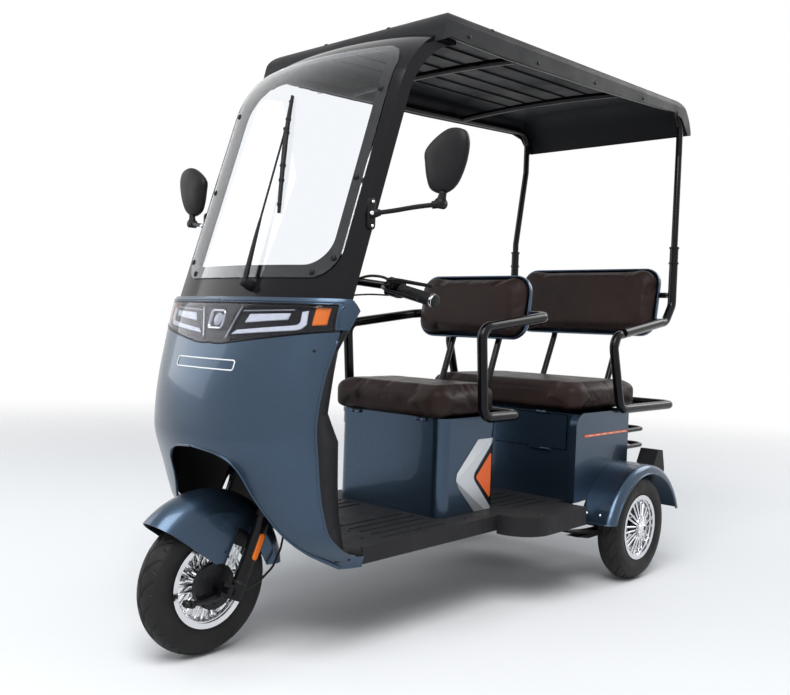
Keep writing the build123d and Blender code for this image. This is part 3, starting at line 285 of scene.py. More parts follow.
def arc(a, b, c, count):
    """Points on the circle from a through b to c, in a plane, as complex numbers.

    With w = (c - a) / (b - a), the centre is a + (b - a)(w - |w|^2) / (w - conjugate of w).
    """
    a, b, c = (complex(*point) for point in (a, b, c))
    w = (c - a) / (b - a)
    centre = a + (b - a) * (w - abs(w) ** 2) / (w - w.conjugate())
    start, middle, end = np.angle([a - centre, b - centre, c - centre])
    sweep = (end - start) % (2 * np.pi)
    if (middle - start) % (2 * np.pi) > sweep:
        sweep -= 2 * np.pi
    points = centre + abs(a - centre) * np.exp(1j * (start + sweep * np.linspace(0, 1, count)))
    return np.stack([points.real, points.imag], 1)


def rounded_outline(half_width, half_height, corner, inset=0.0, count=96):
    """A rounded rectangle round the origin: straight sides and quarter circles, evenly spaced."""
    corner = max(corner - inset, 0.001)
    width, height = half_width - inset - corner, half_height - inset - corner
    quarter = np.linspace(0, np.pi / 2, 25)
    arcs = [np.stack([x * width + corner * np.cos(quarter + turn),
        z * height + corner * np.sin(quarter + turn)], 1)
        for x, z, turn in ((1, 1, 0), (-1, 1, np.pi / 2), (-1, -1, np.pi), (1, -1, 1.5 * np.pi))]
    line = np.vstack(arcs + [arcs[0][:1]])
    step = np.concatenate([[0], np.cumsum(np.linalg.norm(np.diff(line, axis=0), axis=1))])
    place = np.linspace(0, step[-1], count, endpoint=False)
    return np.stack([np.interp(place, step, line[:, k]) for k in (0, 1)], 1)


def ring_faces(rings, count):
    """Quads between rings of a like count of points, and one face over the last ring."""
    last = (rings - 1) * count
    return grid_faces(rings, count, wrap_columns=True).tolist() + [list(range(last, last + count))]


def tray(half_width, half_height, corner, profile, place, count=96):
    """A rounded outline carried through a profile of (inset, depth), closed at its last ring."""
    rings = [np.column_stack([rounded_outline(half_width, half_height, corner, inset, count),
        np.full(count, depth)]) for inset, depth in profile]
    return place(np.array(rings).reshape(-1, 3)), ring_faces(len(profile), count)


def drop(node, points, direction):
    """Where rays from points along a direction meet a node, with the normals there."""
    hits, normals = [], []
    for point in np.atleast_2d(points):
        found, place, normal, _ = nodes[node].ray_cast(Vector(point), Vector(direction))
        if found:
            hits.append(place[:])
            normals.append(normal[:])
    return np.array(hits), np.array(normals)


def seen_from_ahead(points):
    """Points (x, z) set out on an upright plane ahead of the nose."""
    return np.stack([points[..., 0], np.full(points.shape[:-1], AXLE_Y + AHEAD),
        points[..., 1]], -1)


def drop_back(node, line):
    """A line of (x, z) carried rearwards onto a node."""
    return drop(node, seen_from_ahead(line), (0, 1, 0))[0]


def lay_on(piece, node, lift, thickness):
    """Carries a flat piece along Y onto a node, thickens it and brings it forward by a lift."""
    modify(piece, "SHRINKWRAP", target=nodes[node], wrap_method="PROJECT", use_project_y=True,
        use_positive_direction=True, use_negative_direction=True)
    modify(piece, "SOLIDIFY", thickness=thickness, offset=0.0)
    settle(piece)
    piece.data.transform(Matrix.Translation((0, -lift, 0)))


# ---- shader nodes
def plug(tree, socket, value):
    """Links another socket into this one, or sets its value."""
    if isinstance(value, bpy.types.NodeSocket):
        tree.links.new(value, socket)
    else:
        socket.default_value = value


def add_node(tree, kind, inputs=None, **settings):
    """A node with its settings, and sockets or plain values for its inputs."""
    made = tree.nodes.new(kind)
    for key, value in settings.items():
        setattr(made, key, value)
    for key, value in (inputs or {}).items():
        plug(tree, made.inputs[key], value)
    return made


def maths(tree, operation, first, second, clamp=False):
    """The result of one operation on two sockets or numbers."""
    return add_node(tree, "ShaderNodeMath", {0: first, 1: second}, operation=operation,
        use_clamp=clamp).outputs[0]


def new_group(name, vectors, **numbers):
    """An empty shader group with vector inputs, number inputs with their defaults, one output."""
    group = bpy.data.node_groups.new(name, "ShaderNodeTree")
    for socket in vectors:
        group.interface.new_socket(socket, in_out="INPUT", socket_type="NodeSocketVector")
    for socket, value in numbers.items():
        made = group.interface.new_socket(socket, in_out="INPUT", socket_type="NodeSocketFloat")
        made.default_value = value
    group.interface.new_socket("Value", in_out="OUTPUT", socket_type="NodeSocketFloat")
    return group, group.nodes.new("NodeGroupInput").outputs


def end_group(group, result):
    """Feeds a group's output."""
    group.links.new(result, group.nodes.new("NodeGroupOutput").inputs["Value"])
    return group


def make_mottle():
    """Slow cloudy change: noise from 0.35 to 0.65 spread from Low to High."""
    group, given = new_group("mottle", ["Vector"], Scale=5.0, Low=0.3, High=0.4)
    cloud = add_node(group, "ShaderNodeTexNoise", {
        "Vector": given["Vector"], "Scale": given["Scale"], "Detail": 5.0, "Roughness": 0.6})
    span = add_node(group, "ShaderNodeMapRange", {
        "Value": cloud.outputs[0], "From Min": 0.35, "From Max": 0.65,
        "To Min": given["Low"], "To Max": given["High"]})
    return end_group(group, span.outputs[0])


def make_grain():
    """A pebbled height: the distance in rounded cells plus Fine times a noise 2.3 times finer."""
    group, given = new_group("grain", ["Vector"], Scale=500.0, Fine=0.3)
    cells = add_node(group, "ShaderNodeTexVoronoi", {
        "Vector": given["Vector"], "Scale": given["Scale"]}, feature="SMOOTH_F1")
    noise = add_node(group, "ShaderNodeTexNoise", {
        "Vector": given["Vector"], "Scale": maths(group, "MULTIPLY", given["Scale"], 2.3),
        "Detail": 3.0})
    fine = maths(group, "MULTIPLY", noise.outputs[0], given["Fine"])
    return end_group(group, maths(group, "ADD", fine, cells.outputs["Distance"]))


def make_dust():
    """A thin mask of dust: Amount times a cloud times how far the surface looks up."""
    group, given = new_group("dust", ["Vector", "Normal"], Amount=0.1)
    split = add_node(group, "ShaderNodeSeparateXYZ", {0: given["Normal"]})
    facing = add_node(group, "ShaderNodeMapRange", {
        "Value": split.outputs["Z"], "From Min": 0.2, "From Max": 1.0, "To Min": 0.15,
        "To Max": 1.0})
    cloud = add_node(group, "ShaderNodeTexNoise", {
        "Vector": given["Vector"], "Scale": 9.0, "Detail": 8.0, "Roughness": 0.7})
    patchy = maths(group, "MULTIPLY", facing.outputs[0], cloud.outputs[0])
    return end_group(group, maths(group, "MULTIPLY", patchy, given["Amount"], clamp=True))


def make_flake():
    """Fine metallic flake: one random value from Low to High in each small cell."""
    group, given = new_group("flake", ["Vector"], Scale=2500.0, Low=0.8, High=1.2)
    cells = add_node(group, "ShaderNodeTexVoronoi", {
        "Vector": given["Vector"], "Scale": given["Scale"]})
    split = add_node(group, "ShaderNodeSeparateColor", {0: cells.outputs["Color"]})
    span = add_node(group, "ShaderNodeMapRange", {
        "Value": split.outputs[0], "To Min": given["Low"], "To Max": given["High"]})
    return end_group(group, span.outputs[0])


EFFECTS = {"mottle": make_mottle(), "grain": make_grain(), "dust": make_dust(),
    "flake": make_flake()}
DUST_COLOR = (0.3, 0.28, 0.25, 1.0)


class Finish:
    """A material: one principled shader fed by the shared effects on its object coordinates.

    rough is (scale, low, high) of the cloud in its roughness, bump is (scale, share of fine
    noise, depth in metres), flake is (scale, low, high) of its brightness, tint is (scale,
    another colour) that its colour wanders towards, dust is the amount on what looks up, and
    shine is the level of its reflections.
    """

    def __init__(self, name, color, rough=None, bump=None, flake=None, tint=None, dust=None,
            shine=None, **sockets):
        """Builds the shader from whichever of these are given."""
        self.material = bpy.data.materials.new(name)
        self.material.use_nodes = True
        self.tree = self.material.node_tree
        self.place = add_node(self.tree, "ShaderNodeTexCoord").outputs["Object"]
        base = (*color, 1.0)
        if rough:
            sockets["Roughness"] = self.effect("mottle", *rough)
        if bump:
            height = self.effect("grain", *bump[:2])
            sockets["Normal"] = add_node(self.tree, "ShaderNodeBump", {
                "Height": height, "Distance": bump[2]}).outputs[0]
        if flake:
            light = self.effect("flake", *flake)
            grey = add_node(self.tree, "ShaderNodeCombineColor", {0: light, 1: light, 2: light})
            base = self.blend(1.0, base, grey.outputs[0], "MULTIPLY")
        if tint:
            base = self.blend(self.effect("mottle", tint[0], 0.0, 1.0), base, (*tint[1], 1.0))
        if dust:
            normal = add_node(self.tree, "ShaderNodeNewGeometry").outputs["Normal"]
            base = self.blend(self.effect("dust", normal, dust), base, DUST_COLOR)
        if shine:
            sockets["Specular_IOR_Level"] = shine
        sockets["Base_Color"] = base
        shader = self.tree.nodes["Principled BSDF"]
        for key, value in sockets.items():
            plug(self.tree, shader.inputs[key.replace("_", " ")], value)

    def effect(self, name, *values):
        """A shared effect on this material's coordinates, its other inputs given in order."""
        return add_node(self.tree, "ShaderNodeGroup", dict(enumerate((self.place, *values))),
            node_tree=EFFECTS[name]).outputs[0]

    def blend(self, mask, first, second, kind="MIX"):
        """Two colours mixed by a mask."""
        return add_node(self.tree, "ShaderNodeMix", {0: mask, 6: first, 7: second},
            data_type="RGBA", blend_type=kind).outputs[2]


# ---- finishes
finishes = {
    "body_blue": Finish("slate_lacquer", (0.04, 0.068, 0.108), (3.0, 0.27, 0.34),
        flake=(2600.0, 0.7, 1.25), Metallic=0.88, Coat_Weight=0.35, Coat_Roughness=0.04, shine=0.3),
    "frame_black": Finish("gloss_powder_coat", (0.003, 0.003, 0.004), (30.0, 0.16, 0.24),
        Coat_Weight=0.06, Coat_Roughness=0.05, shine=0.18),
    "floor_black": Finish("floor_moulding", (0.011, 0.011, 0.012), (12.0, 0.5, 0.64),
        (900.0, 0.3, 0.00012), dust=0.035, shine=0.22),
    "trim_black": Finish("matt_moulding", (0.01, 0.01, 0.011), (15.0, 0.38, 0.48),
        (1100.0, 0.3, 0.00006), shine=0.14),
    "gloss_black": Finish("gloss_moulding", (0.009, 0.009, 0.011), (6.0, 0.1, 0.16),
        Coat_Weight=0.05, Coat_Roughness=0.03, shine=0.1),
    "roof_black": Finish("grained_moulding", (0.012, 0.0125, 0.014), (8.0, 0.4, 0.52),
        (1300.0, 0.3, 0.0001), shine=0.1),
    "lamp_glass": Finish("smoked_cover", (0.66, 0.67, 0.72), Roughness=0.02, IOR=1.22,
        Transmission_Weight=1.0),
    "lamp_dark": Finish("dark_reflector", (0.016, 0.016, 0.019), (20.0, 0.18, 0.28),
        Metallic=0.3, shine=0.3),
    "clear_screen": Finish("clear_screen", (0.9, 0.925, 0.96), Roughness=0.01, IOR=1.38,
        Transmission_Weight=1.0),
    "axle_iron": Finish("painted_castings", (0.008, 0.008, 0.009), (25.0, 0.34, 0.5),
        (420.0, 0.3, 0.00022), shine=0.3),
    "seat_leather": Finish("dark_leather", (0.024, 0.015, 0.014), (22.0, 0.34, 0.46),
        (620.0, 0.5, 0.00022), tint=(7.0, (0.032, 0.02, 0.018)), shine=0.09),
    "grip_rubber": Finish("moulded_rubber", (0.008, 0.008, 0.008), (20.0, 0.45, 0.58),
        (700.0, 0.3, 0.0002), shine=0.25),
    "cable_black": Finish("cable_sheath", (0.007, 0.007, 0.007), (40.0, 0.32, 0.42), shine=0.3),
    "tyre_rubber": Finish("tyre_compound", (0.01, 0.01, 0.011), (18.0, 0.5, 0.64),
        (1500.0, 0.3, 0.00008), tint=(14.0, (0.014, 0.0135, 0.013)), dust=0.03, shine=0.22),
    "alloy": Finish("bright_alloy", (0.7, 0.71, 0.73), (35.0, 0.12, 0.24), Metallic=1.0),
}
slots = {row["node"]: row["material_slot"] for row in frame["record"]["subparts"]}
for name, node in nodes.items():
    node.data.materials.clear()
    node.data.materials.append(finishes[slots[name]].material)

chrome = Finish("chrome_plate", (0.8, 0.81, 0.83), (50.0, 0.04, 0.1), Metallic=1.0)
led_white = Finish("led_bar", (0.8, 0.83, 0.88), (40.0, 0.18, 0.34),
    Emission_Color=(0.9, 0.95, 1.0, 1.0), Emission_Strength=0.25)
crystal = Finish("crystal_lens", (0.62, 0.64, 0.68), (90.0, 0.05, 0.22), Coat_Weight=0.3,
    Metallic=0.4)
amber = Finish("amber_lens", (0.95, 0.2, 0.01), (60.0, 0.18, 0.26), Coat_Weight=0.3,
    Emission_Color=(1.0, 0.22, 0.01, 1.0), Emission_Strength=0.35)
# Orange reflector colour with an emission of 0.06: a painted glow, as a reflector gives no light of
# its own.
fork_reflector_painted_glow = Finish("reflector_orange_with_painted_glow", (0.72, 0.15, 0.008), (60.0, 0.15, 0.24),
    (900.0, 0.3, 0.0006), shine=0.2, Emission_Color=(1.0, 0.2, 0.01, 1.0), Emission_Strength=0.06)
red_lens = Finish("red_lens", (0.42, 0.01, 0.012), (60.0, 0.15, 0.24), Coat_Weight=0.8)
silver_film = Finish("silver_film", (0.62, 0.64, 0.67), (20.0, 0.3, 0.38), Metallic=0.55)
# A white film for print, also used for the painted highlights on the chevron and the front fender.
white_film_and_painted_highlight = Finish("white_film_and_painted_highlight", (0.72, 0.74, 0.76), (20.0, 0.3, 0.38))
# A dark grey film used as painted shade on the chevron.
painted_shade_film = Finish("painted_shade_film", (0.3, 0.31, 0.33), (20.0, 0.32, 0.4), Metallic=0.5)
orange_film = Finish("orange_film", (0.9, 0.13, 0.004), (20.0, 0.28, 0.36))
mirror_glass = Finish("mirror_glass", (0.86, 0.87, 0.88), (80.0, 0.01, 0.03), Metallic=1.0)


# ---- tyres and wheels
TREAD_PITCHES = 20
TREAD_DEPTH = 0.003
TYRE_TURNS = 900


def tyre_section():
    """The carcass outline: bead, side, crown and side again, then back inside the rim."""
    side = arc((0.0317, 0.1135), (0.043, 0.143), (0.036, 0.17), 20)
    crown = arc((0.036, 0.17), (0.0, 0.185), (-0.036, 0.17), 57)
    other = side[::-1] * [-1, 1]
    inside = np.array([(-0.0317, 0.1042), (-0.02, 0.1042), (-0.033, 0.143),
        (0.033, 0.143), (0.02, 0.1042), (0.0317, 0.1042)])
    return np.vstack([side, crown[1:], other[1:], inside]), len(side) - 1, len(crown)


def groove(distance, half):
    """A groove's share of the full depth: 1 on its floor, down to 0 at 1.5 half widths."""
    return np.clip(1.5 - np.abs(distance) / half, 0.0, 1.0)


def tread_depth(turn, across):
    """How deep the tread is cut at a turn about the axle and a place across the crown.

    Each side has curved grooves that start near the middle and swing out to the shoulder, with
    a short cut between them; a wavy groove runs round the middle.
    """
    pitch = 2 * np.pi / TREAD_PITCHES
    depth = groove(across - 0.05 * np.sin(turn * TREAD_PITCHES), 0.055)
    for hand in (-1, 1):
        place = hand * across
        phase = (turn + (0.5 * pitch if hand < 0 else 0.0) + 0.35 * pitch * place) % pitch / pitch
        curve = 0.16 + 0.74 * phase ** 1.6
        swing = ((place > 0.12) & (place < 0.96)) * groove(place - curve, 0.055)
        cut = (phase - 0.42) * pitch * TYRE_RADIUS
        short = ((place > 0.66) & (place < 0.98)) * groove(cut, 0.0016)
        depth = np.maximum(np.maximum(depth, swing), short)
    return depth


def make_tyre(node, centre, body):
    """The tyre's outline turned about its axle, its crown cut in by the tread.

    Two fine rings stand on its outer side, each as exp(-(distance from its radius / 1.2 mm)^2).
    """
    section, first, crown = tyre_section()
    turn = np.linspace(0, 2 * np.pi, TYRE_TURNS, endpoint=False)[:, None]
    across = np.full(len(section), 2.0)
    across[first:first + crown] = np.linspace(1, -1, crown)
    cut = np.where(np.abs(across) <= 1, tread_depth(turn, across[None, :]), 0.0) * TREAD_DEPTH
    ring = sum(height * np.exp(-((section[:, 1] - radius) / 0.0012) ** 2)
        for height, radius in ((0.0006, 0.152), (0.0008, 0.12)))
    ring[first:] *= (section[first:, 0] < 0)
    radius = section[None, :, 1] - cut
    wide = section[None, :, 0] + (ring * np.sign(section[:, 0]))[None, :] + 0 * turn
    points = np.stack([centre[0] + wide, centre[1] + radius * np.sin(turn),
        centre[2] + radius * np.cos(turn)], -1)
    faces = grid_faces(TYRE_TURNS, len(section), True, True).tolist()
    make_piece(node + "_tread", [(points, faces)], "tyre_rubber", body=body, replaced=node)


def make_hub(name, centre, hand, reach, body):
    """A domed cap and a ring of five bolts on one end of a hub."""
    axis = (hand, 0, 0)
    cap = np.array([(-0.002, 0.0215), (0.0015, 0.0215), (0.003, 0.0195), (0.0035, 0.0135),
        (0.0075, 0.0125), (0.0095, 0.0085), (0.01, 0.0002)]) + [reach, 0.0]
    angle = np.arange(5) * 2 * np.pi / 5
    centres = centre + np.stack([np.full(5, hand * (reach + 0.0002)), 0.0255 * np.cos(angle),
        0.0255 * np.sin(angle)], 1)
    parts = [lathe(cap, centre, axis)] + domes(centres, [axis] * 5, 0.0033, 0.0028)
    make_piece(name, parts, "alloy", chrome, body)


def make_spoke_faces(name, centre, hand, root, body):
    """Bright ribs on the outer side of a wheel: ten pairs that fan out to a ring in the rim.

    Each rib runs from its root to the rim, both given as (radius, half spread, reach outwards).
    """
    parts = []
    for turn in np.arange(10) * 2 * np.pi / 10:
        for side in (-1, 1):
            ends = []
            for radius, spread, reach in (root, (0.0975, 0.0115, 0.0235)):
                across = side * spread
                ends.append(centre + np.array([
                    hand * reach, radius * math.cos(turn) - across * math.sin(turn),
                    radius * math.sin(turn) + across * math.cos(turn)]))
            parts.append(tube(np.linspace(*ends, 5), np.linspace(0.0042, 0.0034, 5), 12))
    ring = [(0.016, 0.0995), (0.016, 0.0955), (0.0255, 0.095), (0.0275, 0.0968), (0.0275, 0.0995)]
    parts.append(lathe(ring, centre, (hand, 0, 0), 96))
    make_piece(name, parts, "alloy", body=body)


front = (at(0, 0, TYRE_RADIUS), "front_wheel")
rear_left = (at(HALF_TRACK, WHEELBASE, TYRE_RADIUS), "rear_wheel_left")
rear_right = (at(-HALF_TRACK, WHEELBASE, TYRE_RADIUS), "rear_wheel_right")
REAR_ROOT = (0.027, 0.0055, 0.035)
for node, (centre, body) in (("front_tyre", front), ("rear_tyre_left", rear_left),
        ("rear_tyre_right", rear_right)):
    make_tyre(node, centre, body)
for name, (centre, body), hand, reach in (
        ("front_hub_cap", front, -1, 0.036), ("rear_hub_cap_left", rear_left, 1, 0.044),
        ("rear_hub_cap_right", rear_right, -1, 0.044)):
    make_hub(name, centre, hand, reach, body)
for name, (centre, body), hand, root in (
        ("front_spokes_right", front, -1, (0.027, 0.0055, 0.029)),
        ("front_spokes_left", front, 1, (0.033, 0.006, 0.024)),
        ("rear_spokes_left", rear_left, 1, REAR_ROOT),
        ("rear_spokes_right", rear_right, -1, REAR_ROOT)):
    make_spoke_faces(name, centre, hand, root, body)


# ---- cushions
def coordinates(piece):
    """The places of a piece's vertices, one row for each."""
    points = np.empty(len(piece.data.vertices) * 3)
    piece.data.vertices.foreach_get("co", points)
    return points.reshape(-1, 3)


def blow_up(piece, limit):
    """Blows a closed skin up as cloth for 20 frames, then keeps each move within a limit."""
    rest = coordinates(piece)
    cloth = modify(piece, "CLOTH").settings
    for key, value in {"quality": 4, "mass": 0.4, "tension_stiffness": 12.0,
            "compression_stiffness": 12.0, "use_pressure": True,
            "uniform_pressure_force": 4.0}.items():
        setattr(cloth, key, value)
    cloth.effector_weights.gravity = 0.0
    for number in range(1, 21):
        bpy.context.scene.frame_set(number)
    graph = bpy.context.evaluated_depsgraph_get()
    move = coordinates(piece.evaluated_get(graph)) - rest
    length = np.linalg.norm(move, axis=1, keepdims=True)
    piece.modifiers.clear()
    bpy.context.scene.frame_set(1)
    return rest + move * np.minimum(1.0, limit / np.maximum(length, 1e-9))


def make_cushion(node, body, shape):
    """A padded cushion in the room of its solid: drawn in, blown up, then shaped.

    shape(points) raises the middle and keeps the finished points in their room.
    """
    piece = new_object(node + "_cushion", nodes[node].data.copy())
    low, high = (np.array(corner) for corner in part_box(node))
    middle, size = (low + high) / 2, high - low
    points = middle + (coordinates(piece) - middle) * (size - 0.012) / size
    piece.data.vertices.foreach_set("co", points.ravel())
    modify(piece, "WELD", merge_threshold=0.00005)
    modify(piece, "REMESH", mode="VOXEL", voxel_size=0.006)
    modify(piece, "SMOOTH", factor=0.5, iterations=6)
    settle(piece)
    points = shape(blow_up(piece, 0.012))
    piece.data.vertices.foreach_set("co", points.ravel())
    modify(piece, "SMOOTH", factor=0.5, iterations=3)
    modify(piece, "SUBSURF", levels=1, render_levels=1)
    settle(piece)
    piece.data.polygons.foreach_set("use_smooth", np.full(len(piece.data.polygons), True))
    piece.data.materials.clear()
    piece.data.materials.append(finishes["seat_leather"].material)
    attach(piece, body)
    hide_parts(node)


def seat_shape(node):
    """A seat's swell as (1 - u^4)(1 - v^4), its lower edge tucked in round a quarter ellipse."""
    low, high = (np.array(corner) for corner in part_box(node))
    middle, half = (low + high) / 2, (high - low) / 2

    def shape(points):
        """Tucks each point in by 18 mm (1 - sqrt(1 - near^2)) and lowers it where it swells less."""
        across = np.clip((points - middle) / half, -1, 1)
        up = np.clip((points[:, 2] - low[2]) / (high[2] - low[2]), 0, 1)
        swell = (1 - across[:, 0] ** 4) * (1 - across[:, 1] ** 4)
        near = np.clip(1 - up / 0.28, 0, 1)
        tuck = 0.018 * (1 - np.sqrt(1 - near ** 2))
        edge = np.sign(across[:, :2]) * np.abs(across[:, :2]) ** 6
        points = points - np.column_stack([tuck[:, None] * edge, 0.006 * (1 - swell) * up])
        return np.clip(points, low + [-0.003, -0.003, 0.0004], high + 0.003)

    return shape


for node, body in (("front_seat", "front_lid"), ("rear_seat", "rear_lid")):
    make_cushion(node, body, seat_shape(node))

# The backrests lean; each has its own frame: across, up its face, and depth behind the face.
BACKRESTS = {
    "front_backrest": dict(face=1.072, middle=0.9465, half=0.232, height=0.219, tilt=8.0),
    "rear_backrest": dict(face=1.838, middle=0.998, half=0.316, height=0.272, tilt=10.0),
}
BACK_DEPTH = 0.062
SHELL_PROFILE = [(0.006, 0.04), (0.001, 0.036), (0.0, 0.038), (0.0, 0.052), (0.003, 0.058),
    (0.009, 0.0612), (0.016, 0.062), (0.03, 0.062)]


def make_backrest(node, face, middle, half, height, tilt):
    """A leaning cushion in a shallow painted shell, its face crowned as (1 - u^4)(1 - v^4)."""
    lean = math.radians(tilt)
    axes = np.array([[1.0, 0.0, 0.0], [0.0, math.sin(lean), math.cos(lean)],
        [0.0, math.cos(lean), -math.sin(lean)]])
    origin = at(0, face, middle)

    def shape(points):
        """Sets the face back by 8 mm times (1 - crown), fading out with depth."""
        local = (points - origin) @ axes.T
        u = np.clip(local[:, 0] / half, -1, 1)
        v = np.clip(local[:, 1] / (height / 2), -1, 1)
        front = np.clip(1 - local[:, 2] / BACK_DEPTH, 0, 1)
        local[:, 2] += 0.008 * front * (1 - (1 - u ** 4) * (1 - v ** 4))
        room = np.array([half + 0.002, height / 2 + 0.002, BACK_DEPTH - 0.006])
        return origin + np.clip(local, [-room[0], -room[1], -0.006], room) @ axes

    make_cushion(node, "chassis", shape)
    shell = tray(half + 0.0005, height / 2 - 0.0005, 0.062, SHELL_PROFILE,
        lambda points: origin + points @ axes)
    make_piece(node + "_shell", [shell], "body_blue")


for node, sizes in BACKRESTS.items():
    make_backrest(node, **sizes)


# ---- lamp
LAMP_HALF = 0.345
LAMP_LOW, LAMP_END_LOW, LAMP_TOP = 0.806, 0.848, 0.914     # heights of its outline
LAMP_MIDDLE = 0.868


def lamp_piece(name, finish, slot, lift, outlines):
    """Strips in the lamp seen from the front, laid on the bottom of its pocket."""
    parts = []
    for first, second in outlines:
        points, faces = ribbon(first, second, 16, 8)
        parts.append((seen_from_ahead(points), faces))
    lay_on(make_piece(name, mirrored(parts), slot, finish), "lamp_housing", lift, 0.004)


lamp_piece("lamp_bar", led_white, "alloy", 0.003,
    [([(0.104, 0.862), (0.232, 0.873)], [(0.116, 0.883), (0.236, 0.888)])])
lamp_piece("lamp_lower_bar", led_white, "alloy", 0.003, [(
    [(0.066, 0.831), (0.258, 0.847), (0.271, 0.851), (0.281, 0.862), (0.279, 0.8955)],
    [(0.0825, 0.842), (0.255, 0.859), (0.262, 0.862), (0.266, 0.868), (0.265, 0.892)])])
lamp_piece("lamp_indicator", amber, "lamp_glass", 0.004,
    [([(0.294, 0.86), (0.296, 0.9035)], [(0.323, 0.863), (0.326, 0.9035)])])
lamp_piece("lamp_fin", silver_film, "alloy", 0.004,
    [([(0.045, 0.82), (0.08, 0.903)], [(0.048, 0.819), (0.0835, 0.903)]),
        ([(0.09, 0.89), (0.245, 0.896)], [(0.09, 0.892), (0.245, 0.898)])])


def make_projector():
    """A chrome frame on a rounded outline round a domed lens, in the middle of the lamp."""
    depth = drop("lamp_housing", at(0, AHEAD, LAMP_MIDDLE), (0, 1, 0))[0][0][1]

    def place(points):
        """Stands the outline up in the lamp, leaning back by a share of its height."""
        lean = 0.3
        return np.stack([points[:, 0], depth - 0.004 + points[:, 2] + lean * points[:, 1],
            LAMP_MIDDLE + points[:, 1]], 1)

    rim = [(0.001, 0.006), (0.0, 0.004), (0.0, -0.004), (0.0008, -0.007), (0.0032, -0.0085),
        (0.006, -0.007), (0.0075, -0.004), (0.0075, 0.004)]
    bowl = [(0.008, 0.0), (0.012, -0.0015), (0.02, -0.002)]
    dome = [(0.0115 * t, -0.002 - 0.0055 * math.sin(t * math.pi / 2)) for t in np.linspace(0, 1, 9)]
    points, faces = tray(0.031, 0.0265, 0.012, rim, place)
    make_piece("projector_frame", [(points, faces[:-1])], "alloy", chrome)
    make_piece("projector_bowl", [tray(0.031, 0.0265, 0.012, bowl, place)], "gloss_black")
    make_piece("projector_lens", [tray(0.0165, 0.0165, 0.014, dome, place)], "alloy", crystal)


make_projector()


def lamp_edge(step):
    """Half of the lamp's outline moved outwards by a step: top, rounded corner, end, lower turn."""
    turn = LAMP_HALF - 0.01
    out = LAMP_HALF + step
    top = LAMP_TOP + step
    return np.vstack([curve_through([(0.0, top), (turn, top)]),
        arc((turn + step, top), (out, top), (out, LAMP_TOP - 0.01), 10),
        [(out, LAMP_END_LOW + 0.01)],
        arc((out, LAMP_END_LOW), (out, LAMP_END_LOW - step), (turn, LAMP_END_LOW - 0.001 - step), 10)])


lower = curve_through([(LAMP_HALF - 0.012, LAMP_END_LOW), (0.06, LAMP_LOW), (0.0, LAMP_LOW)], 60)
make_piece("lamp_gasket", mirrored([tube(drop_back("lamp_lens", lamp_edge(-0.0022)), 0.002, 10),
    tube(drop_back("lamp_lens", lower + [0.0, 0.0024]), 0.002, 10)]),
    "gloss_black")
make_piece("lamp_bezel", mirrored([tube(drop_back("brow", lamp_edge(0.005)[:-6]), 0.003)]),
    "body_blue")


# ---- edges and blank badge
def rear_edge_path():
    """A line just ahead of the fairing's rear edge, from the lamp down to its foot."""
    edge = curve_through([(0.128, 0.846), (0.097, 0.736), (0.081, 0.62), (0.092, 0.52),
        (0.108, 0.43), (0.137, 0.35), (0.176, 0.31), (0.232, 0.276), (0.281, 0.267)], 90)
    starts = places(np.column_stack([np.full(90, ASIDE), edge - [0.003, 0.0]]))
    return drop("front_fairing", starts, (-1, 0, 0))[0]


def arch_path():
    """A line 3 mm outside the wheel arch's edge, square to it, from its top to the foot."""
    edge = curve_through([(0, 0.541), (0.088, 0.53), (0.137, 0.5), (0.163, 0.432),
        (0.199, 0.368), (0.24, 0.305), (0.266, 0.264), (0.2725, 0.249), (0.2775, 0.2375)], 80)
    along = unit(np.gradient(edge, axis=0))
    return drop_back("front_fairing", edge + 0.003 * np.stack([-along[:, 1], along[:, 0]], 1))


arch_line = arch_path()
arch_bead = np.interp(np.linspace(0, 1, len(arch_line)), [0, 0.84, 0.92, 1],
    [0.0032, 0.0032, 0.006, 0.004])
make_piece("fairing_beads", mirrored([tube(rear_edge_path(), 0.0032), tube(arch_line, arch_bead)]),
    "body_blue")


def make_badge():
    """The outline of a blank plate on the nose: a flat ring on a rounded outline."""
    ring = np.stack([rounded_outline(0.1215, 0.014, 0.008, inset, 240) for inset in (0.0, 0.0034)])
    faces = grid_faces(2, 240, wrap_columns=True).tolist()
    piece = make_piece("badge_outline", [(seen_from_ahead(ring + [0.0, 0.7545]), faces)],
        "gloss_black", white_film_and_painted_highlight)
    lay_on(piece, "front_fairing", 0.001, 0.0012)


make_badge()

# ---- films, with strips of painted highlight and painted shade
BOX_SIDE = 0.221
BOX_CORNER = 0.038
BOX_TURN = 0.94                         # from this station the side turns round the corner
REAR_SIDE = 0.353
FENDER_SIDE = 0.0664


def box_side(points, lift):
    """Places on the front box's side, carried round its rear corner, standing off by lift."""
    station, z = points[..., 0] - 0.012, points[..., 1]
    turn = np.maximum(station - BOX_TURN, 0) / BOX_CORNER
    reach = BOX_CORNER + lift
    return np.stack([BOX_SIDE - BOX_CORNER + reach * np.cos(turn),
        AXLE_Y + np.minimum(station, BOX_TURN) + reach * np.sin(turn), z], -1)
